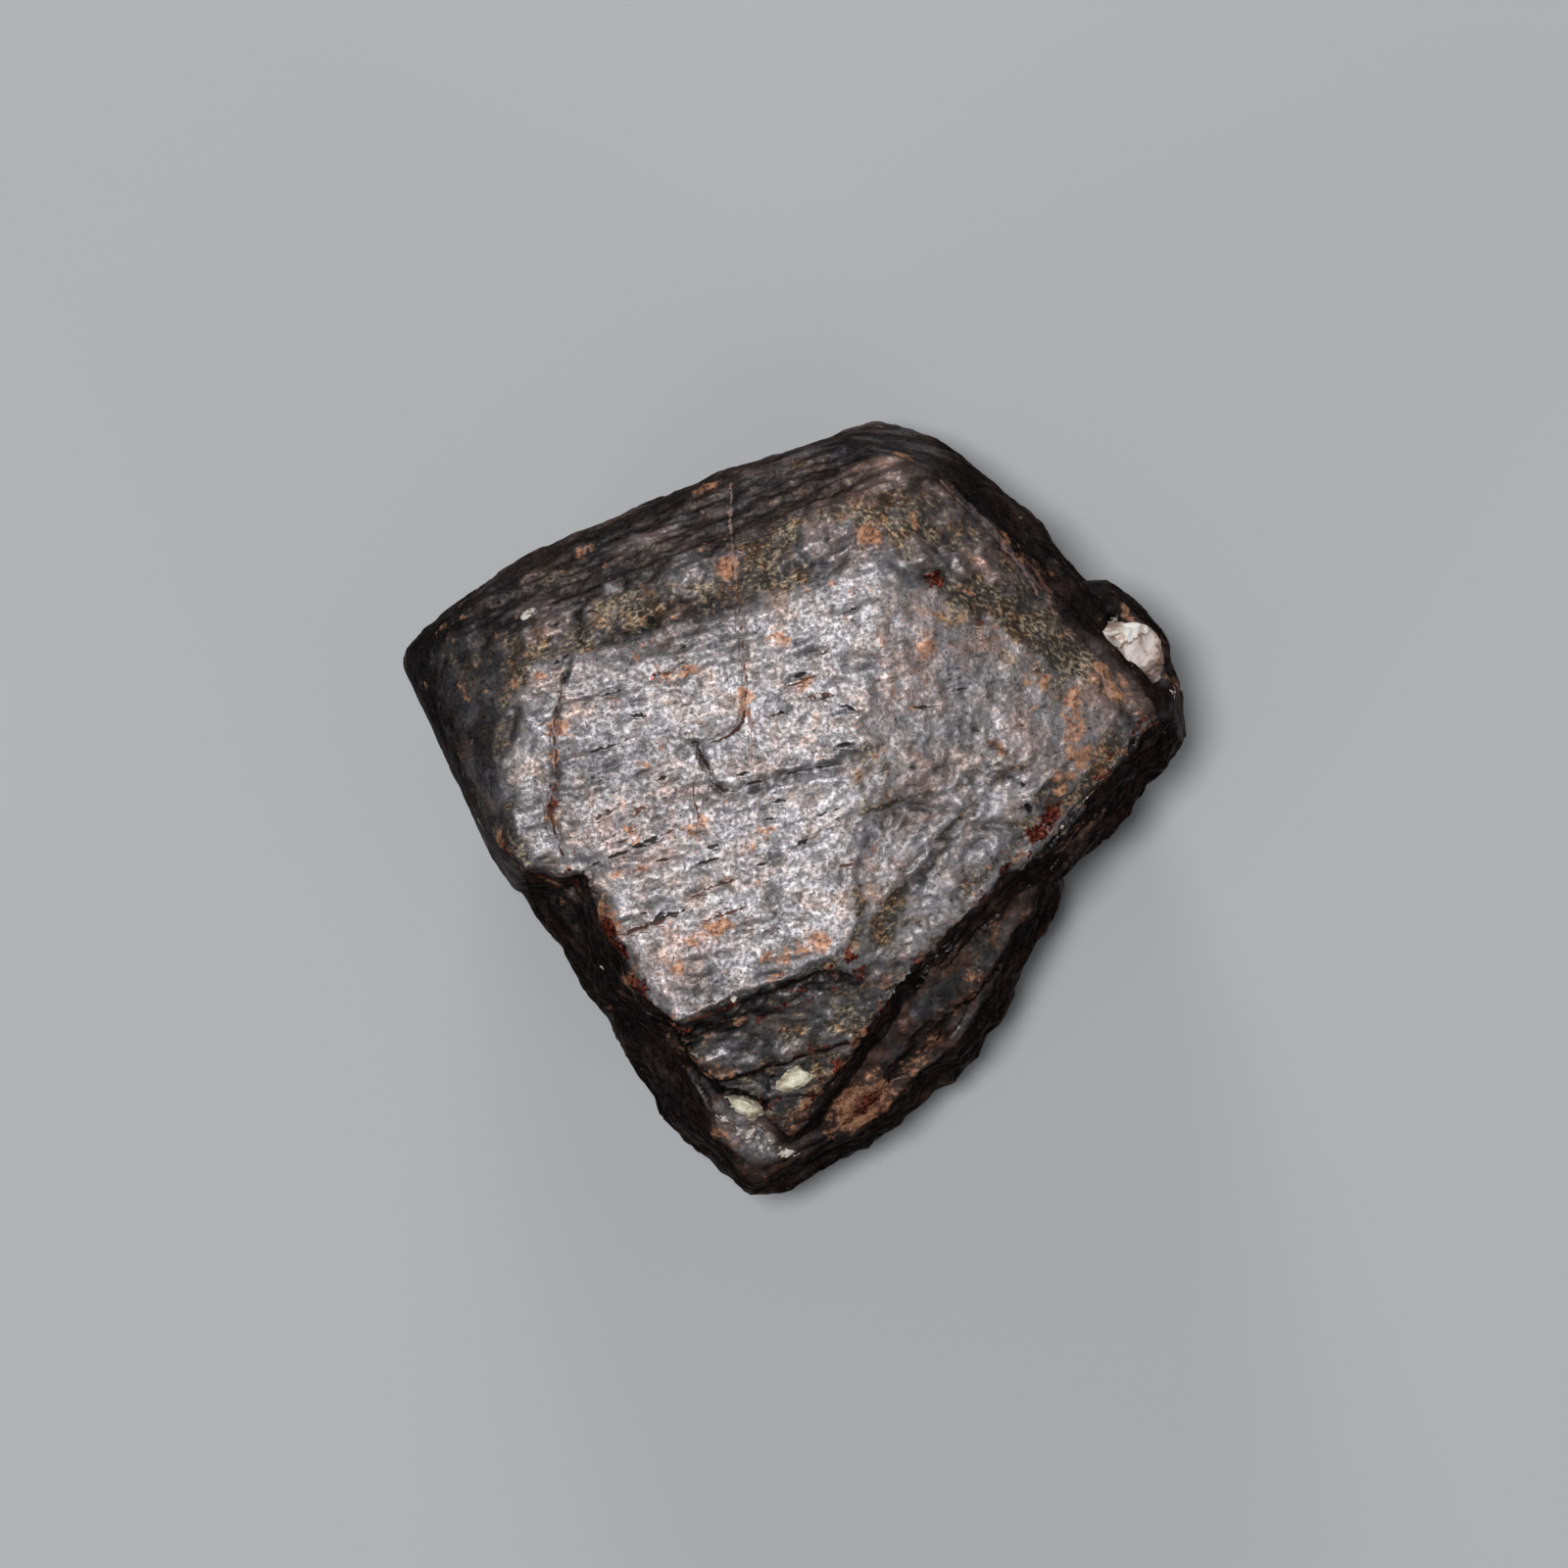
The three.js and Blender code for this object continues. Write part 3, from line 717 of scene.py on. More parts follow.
carve(plan((1047, 818), (1055, 828)), 0.10, 0.12, 1.0)
carve(plan((975, 742), (1000, 748)), 0.12, 0.07, 0.6)
carve(plan((932, 780), (942, 786)), 0.14, 0.10, 0.7)
print("deepest furrow, mm:", round(float(marks["cut"].max()), 2))

# %% Ribs in the hollow, on the foot and along the edges
rib(plan((913, 887), (930, 874), (947, 863)), 0.2, 0.10)
rib(plan((955, 843), (972, 831), (990, 816)), 0.2, 0.10)
rib(plan((995, 886), (1010, 870), (1026, 855)), 0.22, 0.10)
rib(plan((940, 920), (962, 905), (985, 893)), 0.25, 0.08)
rib(plan((985, 790), (1000, 780), (1030, 775)), 0.35, 0.05)
rib(plan((795, 1031), (818, 1022), (845, 1020)), 0.28, 0.04)
rib(plan((847, 1030), (849, 1043)), 0.10, 0.07)
rib(plan((866, 1050), (875, 1066)), 0.14, 0.08)
rib(plan((716, 1084), (735, 1080), (756, 1077)), 0.14, 0.04)
# The ribs from here on, on the knee, the right corner, the upper left slope and the right ridge, are low
# and carry painted highlights.
rib(plan((890, 474), (905, 464), (928, 460)), 0.22, 0.05)
rib(plan((1142, 728), (1150, 742)), 0.14, 0.04)
rib(plan((636, 546), (652, 549), (668, 546)), 0.2, 0.04)
rib(plan((612, 598), (634, 600)), 0.2, 0.04)
rib(plan((958, 482), (990, 515), (1030, 560), (1060, 598), (1080, 622)), 0.07, 0.015)
print("highest rib, mm:", round(-float(marks["cut"].min()), 2))

# %% Pits and dents are painted a little dark too, as dirt and shade
marks["dirt_and_shade"] = np.maximum(marks["dirt_and_shade"], 0.25 * pits)
marks["dirt_and_shade"] = np.maximum(marks["dirt_and_shade"], 0.25 * left_front * smooth_step(dents, 0.6, 1))
relief -= marks["cut"]

# %% [markdown]
# ## Hairlines and slits
# A hairline is thinner than the squares of the mesh, so it can't be cut. The mesh holds
# only a shallow groove, and each vertex keeps how far off the line it is and on which side.
# That runs evenly between vertices, so the finish can draw a line of any width where it
# passes zero. Short slits along the prism are scattered between the drawn ones.

# %% Hairlines and slits on the plan
THIN_LINES = (
    # half width in mm, how reddish up to a pale pink, which on the ridge lines is a painted highlight,
    # then the squares it runs through
    (0.034, 1.0, (744, 483), (745, 505), (744, 530), (747, 560), (752, 600)),
    (0.032, 0.6, (752, 600), (757, 640), (760, 680), (762, 705)),
    (0.034, 0.3, (762, 705), (759, 735), (745, 750), (726, 758)),
    (0.028, 0.9, (762, 705), (768, 751), (766, 778)),
    (0.035, 0.3, *BLOCK_CRACK),
    (0.025, 0.5, (707, 804), (710, 824), (715, 845), (719, 856)),
    (0.055, 0.0, (671, 795), (690, 790)),
    (0.050, 0.0, (787, 730), (801, 728)),
    (0.045, 0.0, (753, 791), (763, 789)),
    (0.060, 0.0, (852, 760), (872, 758)),
    (0.045, 0.0, (644, 729), (657, 730)),
    (0.040, 0.3, (608, 835), (625, 827)),
    (0.045, 0.0, (648, 863), (676, 852)),
    (0.040, 0.5, (648, 825), (659, 824)),
    (0.035, 0.0, (707, 883), (734, 876)),
    (0.035, 0.0, (722, 865), (734, 862)),
    (0.040, 0.0, (772, 883), (791, 878)),
    (0.035, 0.3, (718, 908), (749, 898)),
    (0.050, 0.0, (669, 938), (699, 929)),
    (0.040, 0.0, (791, 818), (801, 817)),
    (0.035, 0.0, (826, 728), (831, 727)),
    (0.045, 0.0, (858, 720), (873, 724)),
    (0.045, 0.3, (633, 955), (660, 945), (692, 934)),
    (0.030, 0.0, (600, 768), (640, 755)),
    (0.035, 0.0, (610, 860), (650, 846)),
    (0.035, 0.0, (600, 885), (640, 868), (675, 858)),
    (0.035, 0.5, (720, 940), (760, 925)),
    (0.040, 0.6, (668, 692), (690, 684)),
    (0.030, 0.4, (805, 700), (832, 690)),
    (0.030, 0.7, (1046, 560), (1062, 590), (1080, 612)),
    # From here to the knee: pale pink lines painted as highlights along the right ridge and on the knee.
    (0.022, 1.0, (958, 484), (975, 502), (990, 518)),
    (0.026, 1.0, (1002, 532), (1030, 562), (1060, 600), (1084, 628)),
    (0.022, 0.9, (1090, 640), (1104, 660)),
    (0.050, 1.0, (884, 476), (900, 466), (914, 461), (926, 462)),
    (0.035, 0.1, (700, 755), (711, 758), (714, 770), (722, 782), (725, 796), (737, 806), (752, 808)),
    # A painted highlight along the right corner.
    (0.035, 1.0, (1118, 682), (1130, 700), (1137, 716)),
    (0.030, 0.9, (1104, 676), (1112, 690)),
    (0.030, 0.0, (800, 790), (830, 784), (852, 780)),
)
print("drawn lines:", len(THIN_LINES))

# %% Scattered slits, then how far each vertex is from the nearest line
SCATTERED_SLITS = 60
FAR = 0.12  # mm off a line, where it no longer counts
GROOVE = 0.018  # mm deep

dice = random.Random(17)
lines = [(half, red, plan(*squares)) for half, red, *squares in THIN_LINES]
for _ in range(SCATTERED_SLITS):
    middle = np.array([dice.uniform(-6.0, 6.5), dice.uniform(-5.6, 4.6)])
    half_length = dice.uniform(0.04, 0.3)
    slant = math.radians(PRISM_AXIS + dice.gauss(0, 8))
    half_step = half_length * np.array([math.cos(slant), math.sin(slant)])
    slit = np.array([middle - half_step, middle + half_step])
    lines.append((dice.uniform(0.015, 0.04), dice.choice((0, 0, 0.5)), slit))
nearest = np.full(len(at), FAR)
line_side = np.full(len(at), FAR)
line_width = np.zeros(len(at))
line_red_and_sheen = np.zeros(len(at))
for half, red, line in lines:
    away, where, side = along_line(at, line)
    taper = np.sqrt(np.clip(4 * where * (1 - where), 0, 1))
    near = (away < nearest) & upper
    nearest = np.where(near, away, nearest)
    line_side = np.where(near, away * side, line_side)
    line_width = np.where(near, half * (0.3 + 0.7 * taper), line_width)
    line_red_and_sheen = np.where(near, red, line_red_and_sheen)
relief -= GROOVE * smooth_step(-nearest, -FAR, 0) * (line_width > 0)
print("thin lines:", len(lines))

# %% [markdown]
# ## Polish and painted light
# The polish sets how bright the metal's colour is. The worn front faces are the most polished, the
# shoulders less so, and the prism sides and breaks are dull. The breaks, the left end and the steep right
# sides are also painted darker as shade. Handling polishes knobs and ribs, and the tip has a coarse
# bright rim. There and on the knee, the brighter colour is partly a painted highlight. The polish is a
# share from 0 to 1 at every vertex: most of it follows from the faces, and soft patches on the plan make
# a place brighter or duller, some of them as painted light.

# %% Soft patches
BESIDE = 6.0  # mm, the height taken for a patch drawn beside the solid


def nearness(column, row, squeeze=1.0, turn=0.0):
    """How far each vertex is from the top surface at a plan point, in mm.

    Across the turned line it counts squeezed. Downwards it counts more than upwards, so
    that a patch at an edge doesn't run down the side.
    """
    x0, y0 = plan((column, row))[0]
    top = top_of_solid(x0, y0)
    rise = at[:, 2] - (top.z if top else BESIDE)
    rise = np.where(rise < 0, 1.4 * rise, 0.5 * rise)
    c, s = math.cos(math.radians(turn)), math.sin(math.radians(turn))
    x = at[:, 0] - x0
    y = at[:, 1] - y0
    return np.sqrt((x * c + y * s) ** 2 + ((y * c - x * s) * squeeze) ** 2 + rise**2)


def blot(column, row, size, squeeze=1.0, turn=0.0):
    """A soft round or long patch, sizes in millimetres."""
    away = nearness(column, row, squeeze, turn)
    return smooth_step(-away, -size, -0.3 * size)


# %% Polish and painted light
# By face, with knobs rubbed brighter on the slopes, partly as a painted highlight.
polish_and_painted_light = 0.30 + 0.52 * left_front + 0.66 * right_front + 0.20 * shoulder * (1 - front)
polish_and_painted_light += 0.12 * coarse + 0.28 * sloping * smooth_step(knobs, 0.05, 0.45) * (1 - zones.broken)

# The breaks, the left end and the steep right sides are duller, painted darker as shade.
polish_and_painted_light *= 1 - 0.42 * zones.broken
polish_and_painted_light *= 1 - 0.45 * smooth_step(-at[:, 0], 7.2, 7.8) * (1 - front)
polish_and_painted_light *= 1 - 0.5 * sloping * faces_right * smooth_step(zones.tilt, 40, 60)

# The rim of the tip is rough, and painted bright as a highlight.
tip_rim = blot(765, 1168, 1.4, 2.0, -42)
relief += tip_rim * (0.07 * medium + 0.05 * rough_field + 0.03 * fine)
polish_and_painted_light += 0.5 * marks["rubbed_and_sheen"] + 0.9 * tip_rim - 0.12 * zones.foot - 0.07 * right_front
polish_and_painted_light -= 0.06 * sloping * faces_up

# %% Places that are brighter or duller
SHINE = (
    # column, row, size in mm, squeeze, turn, change of polish
    (730, 930, 3.4, 1.6, 15, -0.07),
    (555, 830, 2.2, 2.2, 80, -0.14),
    # a painted highlight on the knee
    (909, 463, 0.5, 2.0, 15, 0.5),
    (690, 645, 3.0, 3.0, 14, -0.35),
    (625, 795, 2.6, 1.2, 80, -0.22),
    # painted shade where the left front face rounds down to the foot
    (716, 1004, 1.2, 2.0, 17, -0.45),
    (826, 808, 1.0, 1.3, 0, 0.25),
    (872, 570, 1.0, 1.4, 20, 0.2),
    (870, 515, 1.0, 2.0, 15, -0.3),
    (965, 765, 1.4, 1.3, 0, -0.25),
    (925, 845, 1.2, 1.5, 60, -0.22),
    (1064, 705, 1.4, 1.3, 0, -0.18),
    (938, 950, 1.2, 1.6, 45, 0.3),
    (1156, 700, 0.9, 1.3, -50, 0.5),
    (562, 885, 0.9, 1.5, -25, 0.5),
)
for column, row, size, squeeze, turn, change in SHINE:
    polish_and_painted_light += change * blot(column, row, size, squeeze, turn)
polish_and_painted_light = np.clip(polish_and_painted_light * (1 - 0.8 * marks["dirt_and_shade"]), 0, 1)
print("polish, mean:", round(float(polish_and_painted_light.mean()), 3))

# %% [markdown]
# ## Film and umber
# Weather has left a thin olive film with fine ochre crumbs, thickest on the shoulders and
# none where the crystal is rubbed. Under it the metal itself turns warm brown towards the
# knee, the right corner and the foot. Both are shares like the polish.

# %% Film and umber
# Both by face first, then in soft patches.
film = 0.05 + 0.62 * shoulder + 0.12 * right_front - 0.10 * zones.foot - 0.04 * zones.hollow
film += 0.16 * (1 - front) * (1 - shoulder) + 0.4 * coarse - 0.5 * marks["rubbed_and_sheen"]
film += 0.35 * blot(1040, 660, 3.2, 2.0, -40) + 0.24 * blot(892, 900, 2.3, 2.2, 78)
film += 0.28 * blot(890, 800, 1.7, 1.8, 75) + 0.3 * blot(1110, 780, 2.0, 2.0, 60)
film -= 0.35 * smooth_step(knobs, 0.1, 0.45) * sloping + 0.5 * blot(868, 572, 1.2, 1.5, 20)
film *= smooth_step(-zones.tilt, -85, -65) * (zones.height > 7) * (1 - 0.7 * zones.broken)
umber = 0.15 + 0.45 * sloping * faces_up + 0.55 * sloping * faces_right + 0.5 * zones.broken
umber += 0.7 * blot(905, 480, 1.8, 1.6, 10) + 0.6 * blot(1140, 690, 2.2, 1.6, -45)
umber += 0.35 * blot(680, 980, 2.6, 2.0, 15) + 0.4 * blot(730, 1095, 0.9, 1.5, 10)
umber += 0.3 * right_front - 0.1 * zones.hollow + 0.3 * blot(650, 860, 2.5, 2.0, 15) + 0.3 * coarse
print("film and umber, mean:", round(float(film.mean()), 3), round(float(umber.mean()), 3))

# %% [markdown]
# ## Pale crumbs and painted sheen
# White dust and crumbs of feldspar and quartz stick to the edges, at the tip and round the quartz. Each
# stands up a little from the rock. Where a crumb is less than whole, the finish breaks it up. The light
# grey patches on the rim of the tip are partly painted sheen, and the patch on the knee is a painted
# highlight.

# %% Pale crumbs, and painted sheen at the tip and on the knee
PALE = (
    # column, row, half length in mm, squeeze, turn, and how whole: 1 is whole, 0 is gone
    (537, 627, 0.12, 2.0, 25, 1.8),
    (483, 838, 0.12, 1.5, -60, 1.0),
    (1014, 777, 0.22, 1.2, 20, 0.6),
    (749, 1020, 0.09, 1.4, 0, 1.0),
    (661, 1035, 0.06, 1.0, 0, 1.0),
    (896, 1083, 0.06, 1.0, 0, 1.0),
    (612, 990, 0.05, 1.0, 0, 1.0),
    (1140, 628, 0.20, 2.0, 60, 0.8),
    (1188, 672, 0.45, 1.8, -75, 0.6),
    (1176, 645, 0.40, 1.8, -60, 0.6),
    # light grey patches on the rim of the tip, partly painted sheen
    (740, 1146, 0.45, 4.0, -38, 0.5),
    (757, 1160, 0.40, 2.5, -45, 0.45),
    (775, 1174, 0.45, 3.0, -40, 0.45),
    (803, 1183, 0.36, 3.0, -15, 0.9),
    (795, 1108, 0.25, 2.5, 20, 0.5),
    (750, 1135, 0.35, 3.0, -35, 0.4),
    (1203, 707, 0.24, 1.6, 70, 0.7),
    # more light grey on the tip's rim, partly painted sheen
    (765, 1160, 0.30, 3.0, -40, 0.6),
    (786, 1172, 0.22, 2.5, -30, 0.7),
    # a painted highlight on the knee
    (912, 464, 0.30, 4.0, 12, 0.45),
)
pale = np.full(len(at), -1.0)
for column, row, size, squeeze, turn, whole in PALE:
    pale = np.maximum(pale, whole - nearness(column, row, squeeze, turn) / size)
relief += 0.025 * smooth_step(pale, -0.1, 0.4)
print("crumbs:", len(PALE))

# %% [markdown]
# ## Rust and red glass
# Rust sits in patches by edges and cracks. Rutile lets deep red light through where it is
# thin, so chips on a fresh edge look like dark red glass. Patches that stand out are drawn
# on the plan. Along the upper edges of the breaks noise scatters both.

# %% Rust patches
RUSTY = (
    # column, row, size in mm, squeeze, turn, strength
    (885, 545, 0.45, 1.5, 0, 0.9),
    (740, 577, 0.4, 1.2, 0, 0.9),
    (800, 650, 0.4, 1.5, 20, 0.6),
    (690, 690, 0.7, 3.0, 25, 0.8),
    (545, 690, 0.35, 1.0, 0, 0.7),
    (568, 742, 0.3, 1.0, 0, 1.0),
    (617, 932, 0.45, 1.2, -60, 1.0),
    (650, 885, 0.7, 4.0, 17, 0.6),
    (722, 952, 0.65, 2.6, 22, 0.8),
    (738, 946, 0.3, 1.2, 0, 0.9),
    (837, 961, 0.35, 1.0, 0, 1.0),
    (760, 715, 0.45, 2.0, 90, 0.8),
    (1098, 745, 1.0, 2.6, 82, 0.9),
    (1085, 795, 0.6, 2.0, 60, 0.8),
    (1130, 695, 0.6, 1.6, -50, 0.8),
    (925, 462, 0.45, 1.5, -30, 0.7),
    (875, 500, 0.5, 2.5, 20, 0.3),
    (985, 600, 0.3, 1.2, 0, 0.6),
    (935, 530, 0.4, 2.0, 80, 0.6),
    (480, 700, 0.5, 1.5, 0, 0.5),
    (445, 640, 0.4, 1.5, 0, 0.5),
    (590, 560, 0.4, 1.5, 0, 0.3),
    (1112, 775, 0.6, 1.5, 60, 0.7),
    (1150, 700, 0.6, 1.6, -50, 0.6),
    (820, 700, 0.5, 1.5, 15, 0.35),
    (660, 770, 0.6, 1.5, 15, 0.35),
    (700, 850, 0.7, 2.0, 15, 0.4),
    (640, 850, 0.5, 1.5, 15, 0.5),
    (770, 850, 0.5, 1.5, 15, 0.45),
    (680, 985, 0.5, 1.5, 15, 0.5),
    (800, 975, 0.7, 2.5, 15, 0.6),
    (1060, 690, 0.5, 1.5, 15, 0.5),
    (930, 720, 0.4, 1.5, 15, 0.45),
    (1010, 620, 0.4, 1.5, 15, 0.5),
    (650, 630, 0.4, 1.5, 15, 0.5),
    (1012, 645, 0.3, 1.0, 0, 0.7),
    (945, 662, 0.35, 1.4, 60, 0.7),
    (892, 863, 0.25, 1.0, 0, 0.9),
    (718, 490, 0.5, 2.0, 20, 0.6),
    (880, 1136, 1.2, 1.8, 45, 1.0),
    (735, 1165, 0.5, 2.0, -40, 0.7),
    (1000, 1000, 1.2, 4.0, 55, 0.4),
    (940, 1090, 1.2, 3.0, 50, 0.5),
    (755, 1044, 0.25, 2.0, 25, 0.8),
    (790, 998, 0.3, 2.0, 25, 0.8),
    (728, 1097, 0.45, 1.5, 0, 0.6),
    (640, 1000, 0.45, 1.0, 0, 0.8),
    (905, 1005, 0.4, 1.5, 50, 0.6),
    (1040, 560, 0.9, 4.0, -47, 0.5),
    (1070, 585, 0.4, 1.5, -47, 0.6),
    (1158, 624, 0.4, 1.5, -40, 0.7),
    (1190, 648, 0.5, 1.5, -60, 0.6),
    (1207, 692, 0.5, 1.5, -80, 0.6),
    (1212, 722, 0.4, 1.2, 0, 0.6),
    (1150, 660, 0.5, 2.0, -50, 0.5),
    (505, 855, 0.40, 2.0, -50, 0.8),
    (535, 890, 0.45, 2.0, -40, 0.8),
    (560, 900, 0.35, 1.5, 0, 0.7),
    (520, 705, 0.50, 1.5, 0, 0.5),
    (1094, 722, 0.50, 1.6, 75, 1.0),
    (1106, 772, 0.45, 1.6, 60, 0.9),
    (1128, 688, 0.40, 2.0, -50, 1.0),
)
print("rust patches:", len(RUSTY))

# %% Red chips
GLASSY = (
    # the same columns
    (955, 590, 0.3, 1.0, 0, 1.0),
    (562, 822, 0.25, 1.0, 0, 0.9),
    (868, 976, 0.25, 1.0, 0, 1.0),
    (1074, 831, 0.4, 1.6, 45, 1.0),
    (1058, 850, 0.4, 1.6, 45, 1.0),
    (1030, 885, 0.3, 1.6, 45, 0.8),
    (590, 893, 0.3, 1.0, 0, 1.0),
    (632, 968, 0.35, 1.6, -60, 1.0),
    (622, 950, 0.45, 1.6, -60, 1.0),
    (650, 1008, 0.45, 1.6, -60, 0.9),
    (668, 690, 0.3, 3.0, 25, 0.55),
    (883, 1133, 0.5, 1.5, 45, 0.9),
    (1180, 634, 0.3, 1.5, -50, 0.8),
    (1205, 672, 0.3, 1.5, -70, 0.8),
    (1170, 735, 0.3, 1.5, 50, 0.8),
    (515, 868, 0.3, 1.5, -50, 0.8),
    (548, 897, 0.3, 1.5, -20, 0.8),
)
for name, patches in (("rust", RUSTY), ("red", GLASSY)):
    for column, row, size, squeeze, turn, strength in patches:
        patch = strength * blot(column, row, 1.3 * size, squeeze, turn)
        marks[name] = np.maximum(marks[name], patch)
low_rim = smooth_step(zones.tilt, 15, 40) * smooth_step(-zones.tilt, -75, -55)
low_rim *= zones.lower_half * (zones.height > 8) * smooth_step(medium, 0.0, 0.4)
marks["red"] = np.maximum(marks["red"], 0.7 * low_rim)
print("red chips:", len(GLASSY))

# %% Both along the upper edges of the breaks
RIGHT_RIM = plan(
    (1190, 715), (1150, 760), (1130, 800), (1085, 840), (1060, 870), (1010, 905), (980, 940),
    (950, 980), (925, 1005), (900, 1040), (870, 1080), (850, 1105), (824, 1145), (802, 1164)
)
LEFT_RIM = plan(
    (585, 905), (603, 925), (620, 965), (640, 1005), (669, 1045), (694, 1065), (707, 1078),
    (719, 1103), (736, 1128)
)
PROBES = 4  # places tried on each stretch of a line


def rim_distance(line):
    """How far each vertex is from the top edge over a plan line, in mm."""
    best = np.full(len(at), 1e9)
    for start, end in zip(line[:-1], line[1:]):
        for share in np.arange(PROBES) / PROBES:
            x, y = start + share * (end - start)
            # The line may lie just outside, so a point a little further in is tried too.
            probes = [top_of_solid(x * inward, y * inward) for inward in (1, 0.96)]
            top = max((hit.z for hit in probes if hit), default=9)
            best = np.minimum(best, np.linalg.norm(at - (x, y, top), axis=1))
    return best


for line in (RIGHT_RIM, LEFT_RIM):
    near = smooth_step(-rim_distance(line), -0.55, -0.15) * smooth_step(uneven, -0.15, 0.35)
    marks["red"] = np.maximum(marks["red"], 0.75 * near * smooth_step(medium, -0.2, 0.3))
    marks["rust"] = np.maximum(marks["rust"], 0.55 * near)
    relief += 0.05 * near * (rough_field + 0.5 * fine)
print("rusty vertices:", int((marks["rust"] > 0.5).sum()))

# %% [markdown]
# ## The finished skin
# The relief is raised along the normals, nothing goes under the rest face, and the skin
# goes back to metres. The shares go with it as attributes of the vertices. An image
# would need the crystal unwrapped, with seams across its faces, and attributes don't.

# %% Shares for the finish
# The lower lobe, under the breaks, is brown all over.
lobe = zones.lower_half * (zones.height < 8.2) * (zones.height > 5)
lobe = lobe * smooth_step(-zones.tilt, -70, -50) * (1 - 0.9 * tip_rim)
# A coarser, brighter grain in the hollow and on the rim of the tip, and on the knee a painted highlight.
coarse_grain_and_sheen = zones.hollow + 0.8 * tip_rim + 2.0 * blot(912, 465, 0.5, 2.5, 12)
shares = {
    "polish_and_painted_light": polish_and_painted_light,
    "film": np.clip(film, 0, 1),
    "umber": np.clip(umber, 0, 1),
    "pale": pale,
    "rust": marks["rust"],
    "red": marks["red"],
    "brown": np.clip(lobe, 0, 1),
    "fresh": zones.broken,
    "coarse_grain_and_sheen": coarse_grain_and_sheen,
    "rightward": smooth_step(at[:, 0] + 0.3 * at[:, 1], 2.2, 3.4),
    "dirt_and_shade": np.clip(marks["dirt_and_shade"], 0, 1),
    "line_side": line_side,
    "line_width": line_width,
    "line_red_and_sheen": line_red_and_sheen,
}
print("shares:", len(shares))

# %% Raise the relief
for vertex, co, n, lift in zip(skin.verts, at, zones.facing, relief):
    vertex.co = co + n * lift
    vertex.co.z = max(vertex.co.z, 0)
for face in skin.faces:
    face.smooth = True
bmesh.ops.scale(skin, vec=(MM,) * 3, verts=skin.verts)
crystal_mesh = bpy.data.meshes.new("crystal_skin")
skin.to_mesh(crystal_mesh)
skin.free()
solid.free()

# %% Store the shares
for name, share in shares.items():
    layer = crystal_mesh.attributes.new(name, "FLOAT", "POINT")
    layer.data.foreach_set("value", share.astype(np.float32))
crystal = bpy.data.objects.new("crystal_skin", crystal_mesh)
bpy.context.collection.objects.link(crystal)
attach(crystal, "root")
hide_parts("rutile_crystal")
print("crystal skin:", len(crystal_mesh.polygons), "faces")

# %% [markdown]
# ## The rutile finish
# Rutile is nearly black inside and reflects about a fifth of the light that meets it head
# on, more than glass and less than a metal. So the finish is a dark metal: its colour is
# what it reflects. A dark specular tint keeps the steep sides from mirroring the floor.
# Stains are matt, so they take the metal away where they lie. A few noises, fine to
# broad, are shared by all that follows, so that stains and sparkle keep to the same grain.

# %% Patterns
rutile, rutile_shader = new_material("rutile_finish", IOR=1.5, Specular_IOR_Level=0.0)
rutile_shader.inputs["Specular Tint"].default_value = (0.30, 0.28, 0.27, 1)
g = Graph(rutile)
speck = g.noise(0.10, 3, 0.65)
grit = g.noise(0.28, 3, 0.6)
patchy = g.noise(0.8, 3, 0.55)
streak = g.noise(0.12, 3, 0.6, g.stretched(PRISM_AXIS, 5))


def scattered(pattern, name, reach, low, high):
    """Where a stain lies: all over at a share of 1, in crumbs at a half, nowhere at 0."""
    value = g.sum(g.layer(name), g.centred(pattern), reach)
    return g.step(value, low, high)


# %% [markdown]
# ## Clean metal
# The metal is silver with a lilac cast, pinker in patches. How bright it is follows the polish, painted
# light included. Specks make it sparkle, a sparkle partly painted into the colour, dark streaks follow
# the prism, and dots are the painted shade of fine pits. The hollow and the rim of the tip have a
# coarser, brighter grain, and the knee a painted highlight.

# %% Clean metal
colour = g.ramp(
    g.noise(0.6, 3, 0.65),
    (0.44, (0.180, 0.171, 0.179)),
    (0.56, (0.185, 0.167, 0.166)),
    (0.68, (0.200, 0.158, 0.142)),
)
# Specks painted lighter and darker, as sparkle.
bright = g.step(speck, 0.34, 0.68, 0.70, 1.32)
bright = g.times(bright, g.step(patchy, 0.35, 0.6, 0.82, 1.08))
bright = g.times(bright, g.step(streak, 0.32, 0.42, 0.6, 1.0))
# How bright the metal's colour is follows the polish, painted light included.
polish_and_light_share = g.step(g.sum(g.layer("polish_and_painted_light"), g.centred(grit), 0.5), 0.0, 1.0)
bright = g.times(bright, g.sum(0.10, polish_and_light_share, 1.0))
bright = g.times(bright, g.sum(1.0, g.layer("coarse_grain_and_sheen"), 0.5))
# Dots painted dark as the shade of fine pits.
bright = g.times(bright, g.step(g.noise(0.085, 2, 0.6), 0.30, 0.40, 0.35, 1.0))
colour = g.scaled(colour, bright)

# %% [markdown]
# ## Film, umber and the brown lobe
# The film is dark olive brown, with fine tan and ochre crumbs that come in swarms and are
# drawn out along the prism they lie on. It breaks up at its edges. Umber only tints the
# metal, and the lobe's brown covers it in patches.

